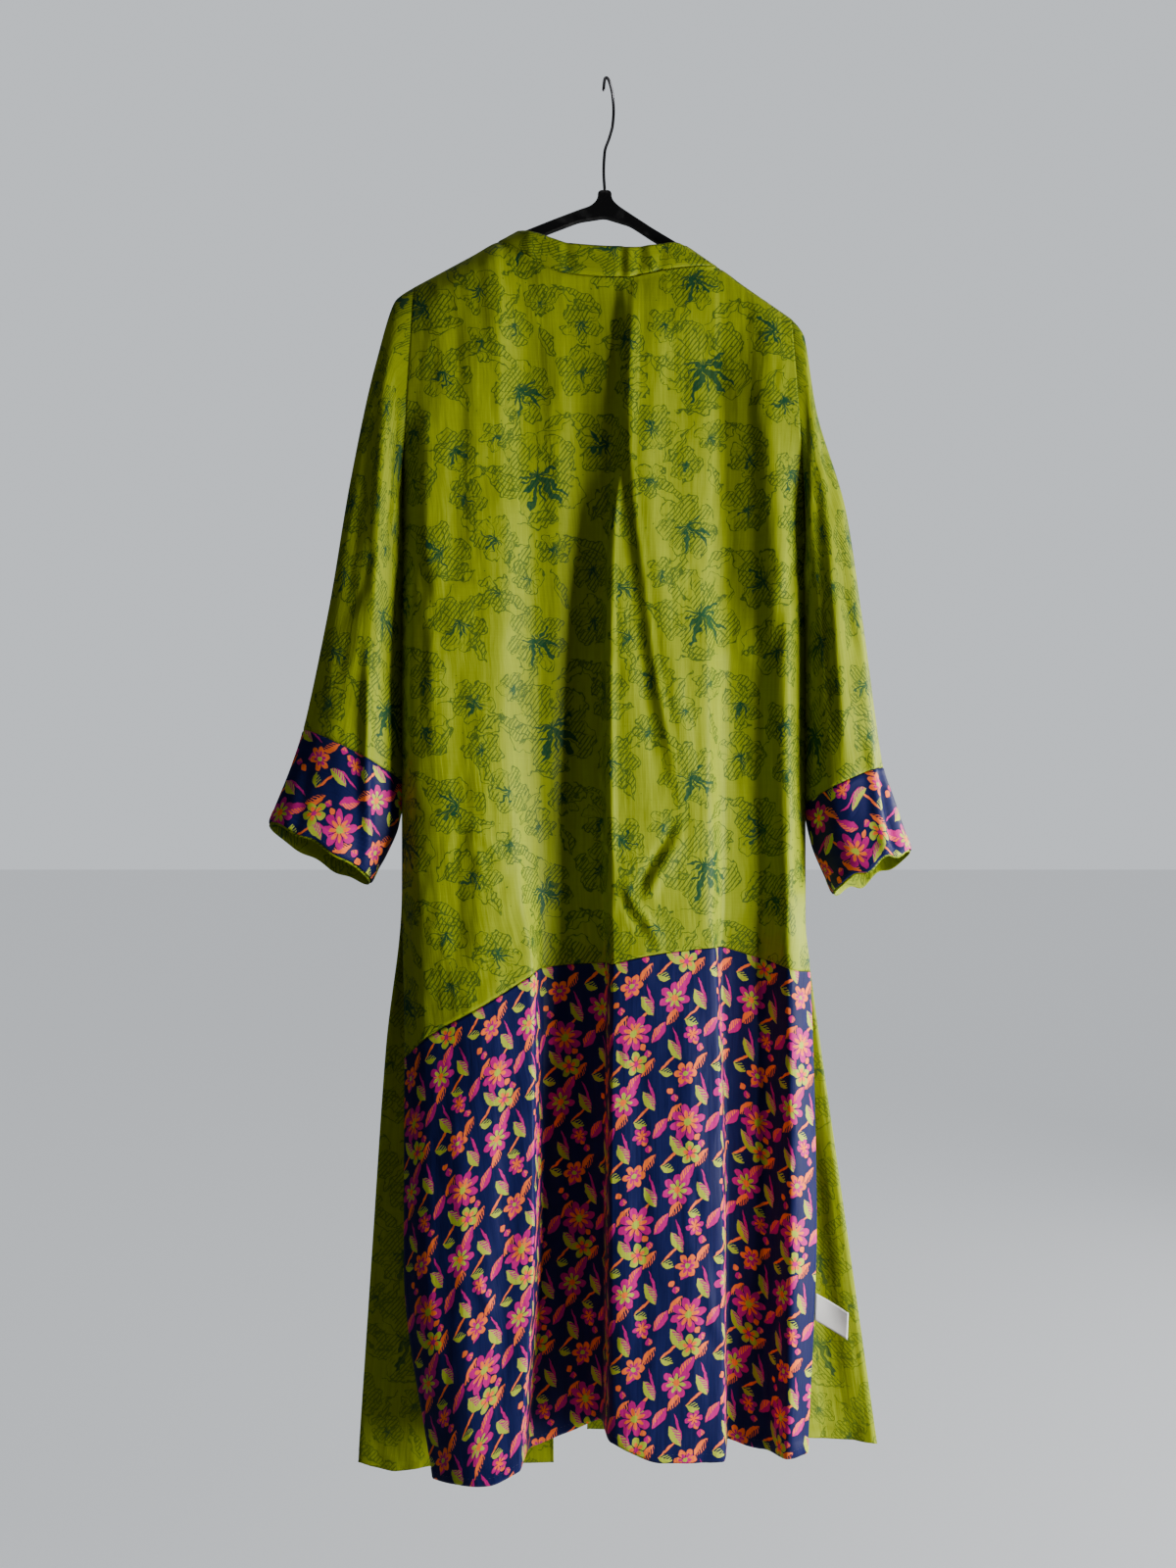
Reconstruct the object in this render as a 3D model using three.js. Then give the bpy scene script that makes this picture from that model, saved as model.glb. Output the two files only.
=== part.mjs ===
// A long open-fronted kimono robe on a hanger, seen from the back in its usual view.
// Millimetres, +Z up. The origin is the inside of the hook's top, where a rail or nail bears.
// X runs to the right of someone who looks at the back, and the back faces -Y.
import * as THREE from "three";

// Cloth and seams
const CLOTH = 1.5; // wall of every cloth piece
const FACING = 1; // thinner wall of the cuff facings
const SEAM_GAP = 0.3; // clear space between two pieces at a seam
const CELLS_ACROSS = 3; // cells between two fold lines

// Levels of the body, from the shoulder ridge down to the hem.
// below: height under the top edge; z: fixed height on the left, zRight on the right;
// fold: share of the depth that the folds have at the join; base: depth of the unfolded cloth;
// cells: rows of cells down to the next level.
const LEVELS = [
  { name: "ridge", below: 0, fold: 0, base: 0.2, cells: 1 },
  { name: "over", below: 4, fold: 0, base: 7, cells: 1 },
  { name: "yoke", below: 22, fold: 0.05, base: 13, cells: 3 },
  { name: "chest", z: -330, zRight: -352, fold: 0.2, base: 20, cells: 3 },
  { name: "underarm", z: -448, zRight: -474, fold: 0.3, base: 22, cells: 3 },
  { name: "waist", z: -600, zRight: -610, fold: 0.42, base: 22, cells: 4 },
  { name: "slit", z: -822, zRight: -850, fold: 0.6, base: 20, cells: 3 },
  { name: "join", fold: 1, cells: 4 },
  { name: "knee", fold: 1, cells: 5 },
  { name: "hem", fold: 1, cells: 0 },
];
const LEVEL = Object.fromEntries(LEVELS.map((level, i) => [level.name, i]));
const KNEE_SHARE = 0.5; // the knee level lies this far from the join to the hem
const SLIT_SHARE = 0.6; // the folds at the slits' tops lie this far from the waist to the join
const SEAM_REACH = 0.02; // step, as a share of a level or line, that gives the cloth's direction
const WAIST = { left: -211, right: 201, z: -605 }; // side seams at the waist

// Armholes: the top end on the ridge and the low end under the arm, x and z
const ARMHOLE = {
  left: { topX: -198, topZ: -210, lowX: -210, lowZ: -448, depth: 20 },
  right: { topX: 186, topZ: -242, lowX: 200, lowZ: -474, depth: 20 },
};

// The ridge that the shoulders and the neckband follow over the hanger's arms
const RIDGE = {
  left: { x: -114, z: -164.7, slope: 0.539 },
  right: { x: 111, z: -190, slope: -0.693 },
};

// Back panel: one row for each line of a fold, from the left side seam to the right one.
// top: x on the ridge, or on the neckband's seam where a row has a topZ and a topY;
// waist, join, knee, hem: x there;
// joinZ and hemZ: height of the wavy join and of the hem; joinY, kneeY and hemY: depth there.
const BACK_LINES = [
  { name: "side_left", top: -198, waist: -211, join: -207, joinZ: -994,
    joinY: -12, knee: -206, kneeY: -24, hem: -176, hemZ: -1409, hemY: -36 },
  { name: "crest_a_start", top: -168, waist: -186, join: -178, joinZ: -972,
    joinY: -38, knee: -176, kneeY: -48, hem: -147, hemZ: -1405, hemY: -58 },
  { name: "crest_a_middle", top: -140, waist: -125, join: -120, joinZ: -934,
    joinY: -44, knee: -120, kneeY: -54, hem: -118, hemZ: -1403, hemY: -64 },
  { name: "crest_a_end", top: -114, waist: -64, join: -76, joinZ: -907,
    joinY: -38, knee: -75, kneeY: -50, hem: -88, hemZ: -1391, hemY: -60 },
  { name: "wall_a", top: -111, topZ: -167.4, topY: -8.5, waist: -57, join: -72, joinZ: -905,
    joinY: -20, knee: -71, kneeY: -24, hem: -84, hemZ: -1394, hemY: -26 },
  { name: "valley_a_start", top: -90, topZ: -181, topY: -14, waist: -50, join: -67, joinZ: -904,
    joinY: -4, knee: -66, kneeY: 2, hem: -80, hemZ: -1398, hemY: 8 },
  { name: "valley_a_middle", top: -50, topZ: -201, topY: -16, waist: -30, join: -34, joinZ: -901,
    joinY: 2, knee: -34, kneeY: 8, hem: -42, hemZ: -1386, hemY: 16 },
  { name: "valley_a_end", top: 4, topZ: -205, topY: -16, waist: -10, join: -5, joinZ: -899,
    joinY: -3, knee: -6, kneeY: 3, hem: -8, hemZ: -1369, hemY: 10 },
  { name: "crest_b_start", top: 19, topZ: -205, topY: -16, waist: 0, join: 4, joinZ: -896,
    joinY: -32, knee: 2, kneeY: -42, hem: 2, hemZ: -1366, hemY: -40 },
  { name: "crest_b_middle", top: 50, topZ: -199, topY: -16, waist: 46, join: 54, joinZ: -885,
    joinY: -42, knee: 56, kneeY: -52, hem: 52, hemZ: -1382, hemY: -62 },
  { name: "crest_b_end", top: 82, topZ: -194, topY: -14, waist: 98, join: 104, joinZ: -880,
    joinY: -37, knee: 111, kneeY: -47, hem: 112, hemZ: -1382, hemY: -58 },
  { name: "wall_b", top: 107, topZ: -191.8, topY: -9, waist: 104, join: 109, joinZ: -881,
    joinY: -24, knee: 116, kneeY: -28, hem: 117, hemZ: -1383, hemY: -30 },
  { name: "valley_b_start", top: 111, waist: 110, join: 114, joinZ: -882,
    joinY: -10, knee: 121, kneeY: -8, hem: 122, hemZ: -1384, hemY: -2 },
  { name: "valley_b_end", top: 138, waist: 176, join: 182, joinZ: -904,
    joinY: -9, knee: 184, kneeY: -8, hem: 180, hemZ: -1394, hemY: -4 },
  { name: "crest_c", top: 162, waist: 190, join: 193, joinZ: -906,
    joinY: -20, knee: 196, kneeY: -27, hem: 190, hemZ: -1388, hemY: -28 },
  { name: "side_right", top: 186, waist: 201, join: 204, joinZ: -907,
    joinY: -12, knee: 209, kneeY: -22, hem: 199, hemZ: -1386, hemY: -30 },
];

// Front panels, from the side seam to the neckband's seam, with the same columns
const FRONT_LEFT_LINES = [
  { name: "side", top: -198, waist: -211, join: -230, joinZ: -990,
    joinY: 16, knee: -247, kneeY: 24, hem: -263, hemZ: -1431, hemY: 30 },
  { name: "crest_one", top: -176, waist: -190, join: -206, joinZ: -990,
    joinY: 33, knee: -214, kneeY: 44, hem: -226, hemZ: -1437, hemY: 52 },
  { name: "valley_one", top: -152, waist: -156, join: -164, joinZ: -990,
    joinY: 22, knee: -170, kneeY: 30, hem: -178, hemZ: -1429, hemY: 40 },
  { name: "crest_two", top: -132, waist: -124, join: -128, joinZ: -990,
    joinY: 36, knee: -130, kneeY: 47, hem: -132, hemZ: -1434, hemY: 60 },
  { name: "band_seam", top: -114, waist: -97, join: -94, joinZ: -990,
    joinY: 30, knee: -94, kneeY: 37, hem: -93, hemZ: -1431, hemY: 46 },
];
const FRONT_RIGHT_LINES = [
  { name: "side", top: 186, waist: 201, join: 212, joinZ: -930,
    joinY: 14, knee: 247, kneeY: 24, hem: 282, hemZ: -1408, hemY: 30 },
  { name: "crest_one", top: 170, waist: 180, join: 186, joinZ: -930,
    joinY: 32, knee: 208, kneeY: 44, hem: 234, hemZ: -1407, hemY: 54 },
  { name: "valley_one", top: 152, waist: 140, join: 138, joinZ: -930,
    joinY: 22, knee: 150, kneeY: 30, hem: 166, hemZ: -1400, hemY: 38 },
  { name: "crest_two", top: 132, waist: 96, join: 82, joinZ: -930,
    joinY: 38, knee: 84, kneeY: 48, hem: 86, hemZ: -1402, hemY: 62 },
  { name: "band_seam", top: 111, waist: 52, join: 28, joinZ: -930,
    joinY: 30, knee: 18, kneeY: 37, hem: 14, hemZ: -1396, hemY: 46 },
];
// Neckband: its width, as a vector from its seam to its free edge, at places along it.
// at: 0 is the left front hem, 1 the left ridge, 2 the right ridge and 3 the right front hem.
const frontPlace = (level) => LEVEL[level] / LEVEL.hem;
const BAND_WIDTHS = [
  { at: 1 - frontPlace("hem"), x: 36, y: 0, z: 1 },
  { at: 1 - frontPlace("waist"), x: 35, y: 0, z: -1 },
  { at: 1 - frontPlace("chest"), x: 30, y: 0, z: 0 },
  { at: 1 - frontPlace("yoke"), x: 25, y: 0, z: 9 },
  { at: 1 - frontPlace("over"), x: 23, y: 0, z: 12.4 },
  { at: 1, x: 23, y: 0, z: 12.4 },
  { at: 1.11, x: 22, y: 0, z: 11.5 },
  { at: 1.22, x: 14, y: 0, z: 21 },
  { at: 1.33, x: 7, y: 1, z: 31 },
  { at: 1.5, x: 0, y: 1, z: 32 },
  { at: 1.67, x: -6, y: 1, z: 27 },
  { at: 1.78, x: -16, y: 0, z: 25 },
  { at: 1.89, x: -32, y: 0, z: 21.6 },
  { at: 2, x: -33, y: 0, z: 22.9 },
  { at: 2 + frontPlace("over"), x: -33, y: 0, z: 22.9 },
  { at: 2 + frontPlace("yoke"), x: -33, y: 0, z: 13 },
  { at: 2 + frontPlace("chest"), x: -34, y: 0, z: 0 },
  { at: 2 + frontPlace("waist"), x: -36, y: 0, z: -3 },
  { at: 2 + frontPlace("hem"), x: -36, y: 0, z: 1 },
];
const BAND_CELLS = 2; // cells across the neckband
const BAND_GAP = 0.5; // clear space along its seam, which bends sharply on the ridge

// Sleeves: one row for each ring, from the armhole (0) over the cuff seam (1) to the hem (2).
// outer and inner edge, x and z; depth: half the tube's depth; tilt: how far the side that faces
// -Y is higher than the centre line.
const SLEEVES = {
  left: [
    { at: 0, outX: -198, outZ: -210, inX: -210, inZ: -448, depth: 20, tilt: 0 },
    { at: 0.08, outX: -216, outZ: -223, inX: -213, inZ: -462, depth: 21, tilt: 0 },
    { at: 0.25, outX: -238, outZ: -292, inX: -214, inZ: -500, depth: 23, tilt: 0 },
    { at: 0.5, outX: -263, outZ: -410, inX: -214, inZ: -560, depth: 26, tilt: 2 },
    { at: 0.75, outX: -283, outZ: -530, inX: -213, inZ: -630, depth: 29, tilt: 5 },
    { at: 1, outX: -311, outZ: -664, inX: -212, inZ: -716, depth: 32, tilt: 9 },
    { at: 1.35, outX: -322, outZ: -698, inX: -216, inZ: -758, depth: 33, tilt: 10 },
    { at: 2, outX: -346, outZ: -759, inX: -242, inZ: -815, depth: 35, tilt: 13 },
  ],
  right: [
    { at: 0, outX: 186, outZ: -242, inX: 200, inZ: -474, depth: 20, tilt: 0 },
    { at: 0.08, outX: 198, outZ: -258, inX: 204, inZ: -486, depth: 21, tilt: 0 },
    { at: 0.25, outX: 211, outZ: -335, inX: 205, inZ: -525, depth: 25, tilt: 0 },
    { at: 0.5, outX: 241, outZ: -438, inX: 205, inZ: -585, depth: 30, tilt: 2 },
    { at: 0.75, outX: 258, outZ: -552, inX: 204, inZ: -660, depth: 35, tilt: 6 },
    { at: 1, outX: 279, outZ: -702, inX: 205, inZ: -738, depth: 40, tilt: 9 },
    { at: 1.35, outX: 290, outZ: -734, inX: 209, inZ: -776, depth: 41, tilt: 10 },
    { at: 2, outX: 307, outZ: -787, inX: 229, inZ: -826, depth: 42, tilt: 12 },
  ],
};
const SLEEVE_ROWS = 12; // rows of cells from the armhole to the cuff seam
const CUFF_ROWS = 4;
const FACING_ROWS = 3; // the facing lies inside so many of the cuff's lowest rows
const FACING_DROP = 2; // how far past the cuff's hem the facing's edge shows
const SLEEVE_SQUARENESS = 0.8; // exponent under 1 squares the tube's section

// Care label, sewn to the back panel's right edge between two places down the panel
const LABEL = { from: 8.34, to: 8.45, reach: 32, fall: 18, curl: -6, cells: 3, thickness: 1 };

// Hanger: the top line of its outline, from the left tip over the boss to the right tip
const HANGER = {
  thickness: 8, // from front to back
  armHeight: 11.7, // measured upright
  topDrop: 3.5, // the arms' top line lies this far under the cloth's ridge
  bevel: 3,
  bevelSteps: 2,
  armLeft: { tip: -180, neck: -91 }, // x where an arm starts and where it begins to curve up
  armRight: { tip: 168, neck: 78 },
  crownLeft: [{ x: -59, z: -143 }, { x: -30, z: -132 }],
  crownRight: [{ x: 22, z: -136 }, { x: 45, z: -151 }],
  boss: { x: -4, halfWidth: 7, foot: -128, top: -112 },
};
// Centre line of the hook's wire, from the boss up and over to the tip: a row for each bend
const HOOK_BENDS = [
  { x: -4, y: 0, z: -111.7 },
  { x: -5, y: 0, z: -92 },
  { x: -4, y: 2, z: -72 },
  { x: 1, y: 10, z: -53 },
  { x: 4.5, y: 18, z: -36 },
  { x: 5.5, y: 21.5, z: -20 },
  { x: 4, y: 15.5, z: -5 },
  { x: 0, y: 0, z: 1.5 },
  { x: -4, y: -15.5, z: -5 },
  { x: -5.5, y: -21, z: -20 },
];
const WIRE_RADIUS = 1.5;
const WIRE_SIDES = 8;
const HOOK_STEPS = 36;

const COLOURS = {
  green: 0x7f8a22,
  navy: 0x191f4c,
  facing: 0x8c9a2a,
  label: 0xe6e6e2,
  plastic: 0x121212,
  wire: 0x3a3a3c,
};

const DEEP = new THREE.Vector3(0, 1, 0);
const vector = ({ x, y = 0, z }) => new THREE.Vector3(x, y, z);
const mix = (a, b, share) => a + (b - a) * share;

function ridgeHeight(x) {
  const { x: startX, z, slope } = x < 0 ? RIDGE.left : RIDGE.right;
  return z + (x - startX) * slope;
}

// Smooth value at place t through values one step apart, without swinging past any of them.
function along(values, t) {
  const last = values.length - 1;
  const place = Math.min(Math.max(t, 0), last);
  const i = Math.min(Math.floor(place), last - 1);
  const step = (k) => values[k + 1] - values[k];
  const slope = (k) => {
    if (k === 0) return step(0);
    if (k === last) return step(last - 1);
    const before = step(k - 1);
    const after = step(k);
    return before * after > 0 ? (2 * before * after) / (before + after) : 0;
  };
  const f = place - i;
  const rise = step(i);
  const bend = slope(i) + slope(i + 1) - 2 * rise;
  return values[i] + f * (slope(i) + f * (3 * rise - 2 * slope(i) - slope(i + 1) + f * bend));
}

// Smooth value at a place in a table whose rows are uneven steps apart in their column "at".
function alongRows(rows, column, at) {
  const last = rows.length - 1;
  const i = Math.min(Math.max(rows.findLastIndex((row) => row.at <= at), 0), last - 1);
  const place = i + (at - rows[i].at) / (rows[i + 1].at - rows[i].at);
  return along(rows.map((row) => row[column]), place);
}

// Control point of a fold line at a level. face is -1 on the back and 1 on the fronts.
function controlPoint(line, level, face) {
  const { name, below, z: leftZ, zRight, base, fold } = level;
  if (["join", "knee", "hem"].includes(name)) {
    const kneeZ = mix(line.joinZ, line.hemZ, KNEE_SHARE);
    const z = { join: line.joinZ, knee: kneeZ, hem: line.hemZ }[name];
    return new THREE.Vector3(line[name], line[name + "Y"], z);
  }
  const isSide = line.name.startsWith("side");
  const hole = line.top < 0 ? ARMHOLE.left : ARMHOLE.right;
  const topZ = line.topZ ?? ridgeHeight(line.top);
  const rightward = (line.waist - WAIST.left) / (WAIST.right - WAIST.left);
  const z = below === undefined ? mix(leftZ, zRight, rightward) : topZ - below;
  if (isSide) {
    const share = Math.min((hole.topZ - z) / (hole.topZ - hole.lowZ), 1);
    const round = Math.sqrt(Math.max(1 - (1 - 2 * share) ** 2, 0));
    const x = share < 1 ? mix(hole.topX, hole.lowX, share) : line.waist;
    return new THREE.Vector3(x, face * Math.max(round * hole.depth, SEAM_GAP / 2), z);
  }
  const fromTop = Math.min((topZ - z) / (topZ - WAIST.z), 1);
  const upperX = mix(line.top, line.waist, fromTop);
  const x = name === "slit" ? mix(line.waist, line.join, SLIT_SHARE) : upperX;
  const plainY = face * Math.max(base, Math.abs(line.topY ?? 0));
  return new THREE.Vector3(x, mix(plainY, line.joinY, fold), z);
}

// Surface through the control points of a table of fold lines: place u across, v down.
function panelSurface(lines, face) {
  const grid = LEVELS.map((level) => lines.map((line) => controlPoint(line, level, face)));
  return (u, v) => {
    const at = (axis) => along(grid.map((row) => along(row.map((p) => p[axis]), u)), v);
    return new THREE.Vector3(at("x"), at("y"), at("z"));
  };
}

// Places down a panel between two levels.
function levelPlaces(first, last) {
  const places = [];
  for (let i = first; i < last; i++)
    for (let k = 0; k < LEVELS[i].cells; k++) places.push(i + k / LEVELS[i].cells);
  return [...places, last];
}

function linePlaces(lines) {
  const count = (lines.length - 1) * CELLS_ACROSS;
  return Array.from({ length: count + 1 }, (_, k) => k / CELLS_ACROSS);
}

// Inward unit normals of a grid of outer points. turn is 1 where its columns cross its rows
// inwards. squareTo(i, j) lists directions to which the wall's edge there stays square.
function inwardNormals(grid, turn, ring, squareTo) {
  const columns = grid[0].length;
  const clamp = (k, count) => Math.min(Math.max(k, 0), count - 1);
  const column = (j) => (ring ? (j + columns) % columns : clamp(j, columns));
  const row = (i) => clamp(i, grid.length);
  return grid.map((line, i) =>
    line.map((_, j) => {
      const acrossStep = line[column(j + 1)].clone().sub(line[column(j - 1)]);
      const downStep = grid[row(i + 1)][j].clone().sub(grid[row(i - 1)][j]);
      const normal = acrossStep.cross(downStep).normalize().multiplyScalar(turn);
      for (const direction of squareTo(i, j))
        normal.addScaledVector(direction, -normal.dot(direction)).normalize();
      return normal;
    }),
  );
}

// Closed wall of cloth between a grid of outer points and the same grid moved inwards.
function clothWall(grid, options = {}) {
  const { turn = 1, ring = false, thickness = CLOTH, inset = 0, squareTo = () => [] } = options;
  const rows = grid.length;
  const columns = grid[0].length;
  const normals = options.normals ?? inwardNormals(grid, turn, ring, squareTo);
  const positions = [];
  for (const depth of [inset, inset + thickness])
    grid.forEach((line, i) =>
      line.forEach((point, j) =>
        positions.push(...point.clone().addScaledVector(normals[i][j], depth).toArray()),
      ),
    );
  const outer = (i, j) => i * columns + (j % columns);
  const inner = (i, j) => rows * columns + outer(i, j);
  const faces = [];
  const quad = (a, b, c, d) => faces.push([a, b, c], [a, c, d]);
  const cells = ring ? columns : columns - 1;
  const low = rows - 1;
  for (let j = 0; j < cells; j++) {
    for (let i = 0; i < low; i++) {
      quad(outer(i, j), outer(i + 1, j), outer(i + 1, j + 1), outer(i, j + 1));
      quad(inner(i, j), inner(i, j + 1), inner(i + 1, j + 1), inner(i + 1, j));
    }
    quad(outer(0, j), outer(0, j + 1), inner(0, j + 1), inner(0, j));
    quad(inner(low, j), inner(low, j + 1), outer(low, j + 1), outer(low, j));
  }
  for (let i = 0; i < low && !ring; i++) {
    quad(inner(i, 0), inner(i + 1, 0), outer(i + 1, 0), outer(i, 0));
    quad(outer(i, cells), outer(i + 1, cells), inner(i + 1, cells), inner(i, cells));
  }
  const geometry = new THREE.BufferGeometry();
  geometry.setAttribute("position", new THREE.Float32BufferAttribute(positions, 3));
  geometry.setIndex(faces.flatMap(([a, b, c]) => (turn > 0 ? [a, b, c] : [a, c, b])));
  geometry.computeVertexNormals();
  return geometry;
}

const robe = new THREE.Group();
robe.name = "kimono_on_hanger";

function addPiece(name, geometry, colour, roughness = 0.5) {
  const material = new THREE.MeshStandardMaterial({ color: colour, roughness, metalness: 0 });
  const mesh = new THREE.Mesh(geometry, material);
  mesh.name = name;
  robe.add(mesh);
}

// Direction in which an armhole's plane faces, towards +X.
function armholeFacing(hole) {
  return new THREE.Vector3(hole.topZ - hole.lowZ, 0, hole.lowX - hole.topX).normalize();
}

// Directions to which a panel's side edge stays square, at place v down it.
function sideSquare(hole, v) {
  if (v < LEVEL.underarm) return [armholeFacing(hole)];
  return v <= LEVEL.slit ? [DEEP] : [];
}

// Width of the neckband, as a vector from its seam to its free edge.
function bandWidth(at) {
  const pick = (axis) => alongRows(BAND_WIDTHS, axis, at);
  return new THREE.Vector3(pick("x"), pick("y"), pick("z"));
}

// Direction from a panel across its seam to the neckband, square to the seam. edge gives the
// seam's points, and place is where along them.
function acrossBandSeam(edge, place, at) {
  const tangent = edge(place + SEAM_REACH).sub(edge(place - SEAM_REACH)).normalize();
  const width = bandWidth(at);
  return width.addScaledVector(tangent, -width.dot(tangent)).normalize();
}

// The back: green above the wavy join and navy below it, with one run of folds through both.
function buildBack() {
  const surface = panelSurface(BACK_LINES, -1);
  const across = linePlaces(BACK_LINES);
  const neckFrom = BACK_LINES.findIndex((line) => line.topZ);
  const neckTo = BACK_LINES.findLastIndex((line) => line.topZ);
  const neck = { from: neckFrom - 1, to: neckTo + 1 };
  const neckPlace = (u) => 1 + (u - neck.from) / (neck.to - neck.from);
  const inNeck = (u) => u > neck.from && u < neck.to;
  const acrossSeam = (u) => acrossBandSeam((k) => surface(k, 0), u, neckPlace(u));
  const lastU = BACK_LINES.length - 1;
  const joinFall = (u) =>
    surface(u, LEVEL.join + SEAM_REACH).sub(surface(u, LEVEL.join - SEAM_REACH)).normalize();
  const addPanel = (name, first, last, colour) => {
    const down = levelPlaces(LEVEL[first], LEVEL[last]);
    const awayFromJoin = first === "join" ? 1 : -1;
    const squareTo = (i, j) => {
      const [u, v] = [across[j], down[i]];
      const directions = [];
      if (u === 0) directions.push(...sideSquare(ARMHOLE.left, v));
      if (u === lastU) directions.push(...sideSquare(ARMHOLE.right, v));
      if (v === 0) directions.push(inNeck(u) ? acrossSeam(u) : DEEP);
      if (v === LEVEL.join) directions.push(joinFall(u));
      return directions;
    };
    const parted = (u) => joinFall(u).multiplyScalar((awayFromJoin * SEAM_GAP) / 2);
    const pointAt = (u, v) => (v === LEVEL.join ? surface(u, v).add(parted(u)) : surface(u, v));
    const grid = down.map((v) => across.map((u) => pointAt(u, v)));
    addPiece(name, clothWall(grid, { squareTo }), colour);
  };
  addPanel("back_upper", "ridge", "join", COLOURS.green);
  addPanel("back_lower", "join", "hem", COLOURS.navy);
  const neckPlaces = across.filter(inNeck);
  const seamAt = (u) => ({ at: neckPlace(u), point: surface(u, 0), across: acrossSeam(u) });
  return { surface, lastU, neckSeam: neckPlaces.map(seamAt) };
}

// A front, from its side seam to the neckband's seam. outward is -1 on the left.
function buildFront(side, lines, outward) {
  const surface = panelSurface(lines, 1);
  const across = linePlaces(lines);
  const down = levelPlaces(0, LEVEL.hem);
  const lastU = lines.length - 1;
  const bandPlace = (v) => (outward < 0 ? 1 - v / LEVEL.hem : 2 + v / LEVEL.hem);
  const acrossSeam = (v) => acrossBandSeam((k) => surface(lastU, k), v, bandPlace(v));
  const squareTo = (i, j) => {
    const directions = j === 0 ? sideSquare(ARMHOLE[side], down[i]) : [];
    if (across[j] === lastU && i > 0) directions.push(acrossSeam(down[i]));
    if (i === 0) directions.push(DEEP);
    return directions;
  };
  const grid = down.map((v) => across.map((u) => surface(u, v)));
  addPiece("front_" + side, clothWall(grid, { turn: outward, squareTo }), COLOURS.green);
  const seamAt = (v) => ({ at: bandPlace(v), point: surface(lastU, v), across: acrossSeam(v) });
  return { surface, bandSeam: down.map(seamAt) };
}

// One band from the left front's hem, up and round the back of the neck, to the right one's.
function buildNeckband(seam) {
  const grid = seam.map(({ at, point, across }) => {
    const start = point.clone().addScaledVector(across, BAND_GAP);
    const end = point.clone().add(bandWidth(at));
    return Array.from({ length: BAND_CELLS + 1 }, (_, k) => start.clone().lerp(end, k / BAND_CELLS));
  });
  const squareTo = (i, j) => (j === 0 ? [seam[i].across] : []);
  addPiece("neckband", clothWall(grid, { squareTo }), COLOURS.green);
}

// Ring of points round a sleeve at a place along it, one for each point of the armhole.
function sleeveRing(side, at, armhole) {
  const pick = (column) => alongRows(SLEEVES[side], column, at);
  const outer = new THREE.Vector3(pick("outX"), 0, pick("outZ"));
  const inner = new THREE.Vector3(pick("inX"), 0, pick("inZ"));
  return armhole.map(({ share, face }) => {
    const round = Math.sqrt(Math.max(1 - (1 - 2 * share) ** 2, 0)) ** SLEEVE_SQUARENESS;
    const swell = new THREE.Vector3(0, pick("depth"), -pick("tilt"));
    return outer.clone().lerp(inner, share).addScaledVector(swell, face * round);
  });
}

const centreOf = (points) =>
  points.reduce((sum, point) => sum.add(point), new THREE.Vector3()).divideScalar(points.length);

// Sleeve, cuff and cuff facing of one side, from the armhole that the panels leave open.
function buildSleeve(side, outward, backEdge, frontEdge) {
  const hole = ARMHOLE[side];
  const down = levelPlaces(0, LEVEL.underarm);
  const shareOf = (point) => (hole.topZ - point.z) / (hole.topZ - hole.lowZ);
  const seamPoints = [
    ...down.map((v) => ({ point: backEdge(v), face: -1 })),
    ...down.slice(1, -1).reverse().map((v) => ({ point: frontEdge(v), face: 1 })),
  ];
  const armhole = seamPoints.map(({ point, face }) => ({ share: shareOf(point), face }));
  const facing = armholeFacing(hole);
  const first = seamPoints.map(({ point }) => point.addScaledVector(facing, outward * SEAM_GAP));
  const ringsOf = (from, to, rows) =>
    Array.from({ length: rows + 1 }, (_, k) =>
      sleeveRing(side, mix(from, to, k / rows), armhole),
    );
  const sleeve = [first, ...ringsOf(0, 1, SLEEVE_ROWS).slice(1)];
  const cuff = ringsOf(1, 2, CUFF_ROWS);
  const cuffFall = centreOf(cuff[1]).sub(centreOf(cuff[0])).normalize();
  cuff[0].forEach((point) => point.addScaledVector(cuffFall, SEAM_GAP));
  const shape = { turn: -outward, ring: true };
  const sleeveSquare = (i) => {
    if (i === 0) return [facing];
    return i === SLEEVE_ROWS ? [cuffFall] : [];
  };
  const cuffSquare = (i) => (i === 0 ? [cuffFall] : []);
  const normals = inwardNormals(cuff, shape.turn, shape.ring, cuffSquare).slice(-FACING_ROWS - 1);
  const lining = cuff.slice(-FACING_ROWS).map((ring) => ring.map((point) => point.clone()));
  lining.unshift(cuff.at(-FACING_ROWS - 1));
  lining.at(-1).forEach((point, j) => {
    const fall = point.clone().sub(lining.at(-2)[j]).normalize();
    point.addScaledVector(fall, FACING_DROP);
  });
  const liningShape = { ...shape, normals, inset: CLOTH + SEAM_GAP, thickness: FACING };
  addPiece("sleeve_" + side, clothWall(sleeve, { ...shape, squareTo: sleeveSquare }), COLOURS.green);
  addPiece("cuff_" + side, clothWall(cuff, { ...shape, squareTo: cuffSquare }), COLOURS.navy);
  addPiece("cuff_facing_" + side, clothWall(lining, liningShape), COLOURS.facing);
}

function buildLabel(back) {
  const row = (v) => {
    const attached = back.surface(back.lastU, v);
    return Array.from({ length: LABEL.cells + 1 }, (_, k) => {
      const share = k / LABEL.cells;
      const x = attached.x + SEAM_GAP + LABEL.reach * share;
      const y = attached.y + LABEL.curl * share * share;
      return new THREE.Vector3(x, y, attached.z - LABEL.fall * share);
    });
  };
  const grid = [row(LABEL.from), row(LABEL.to)];
  addPiece("care_label", clothWall(grid, { thickness: LABEL.thickness }), COLOURS.label);
}

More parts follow.
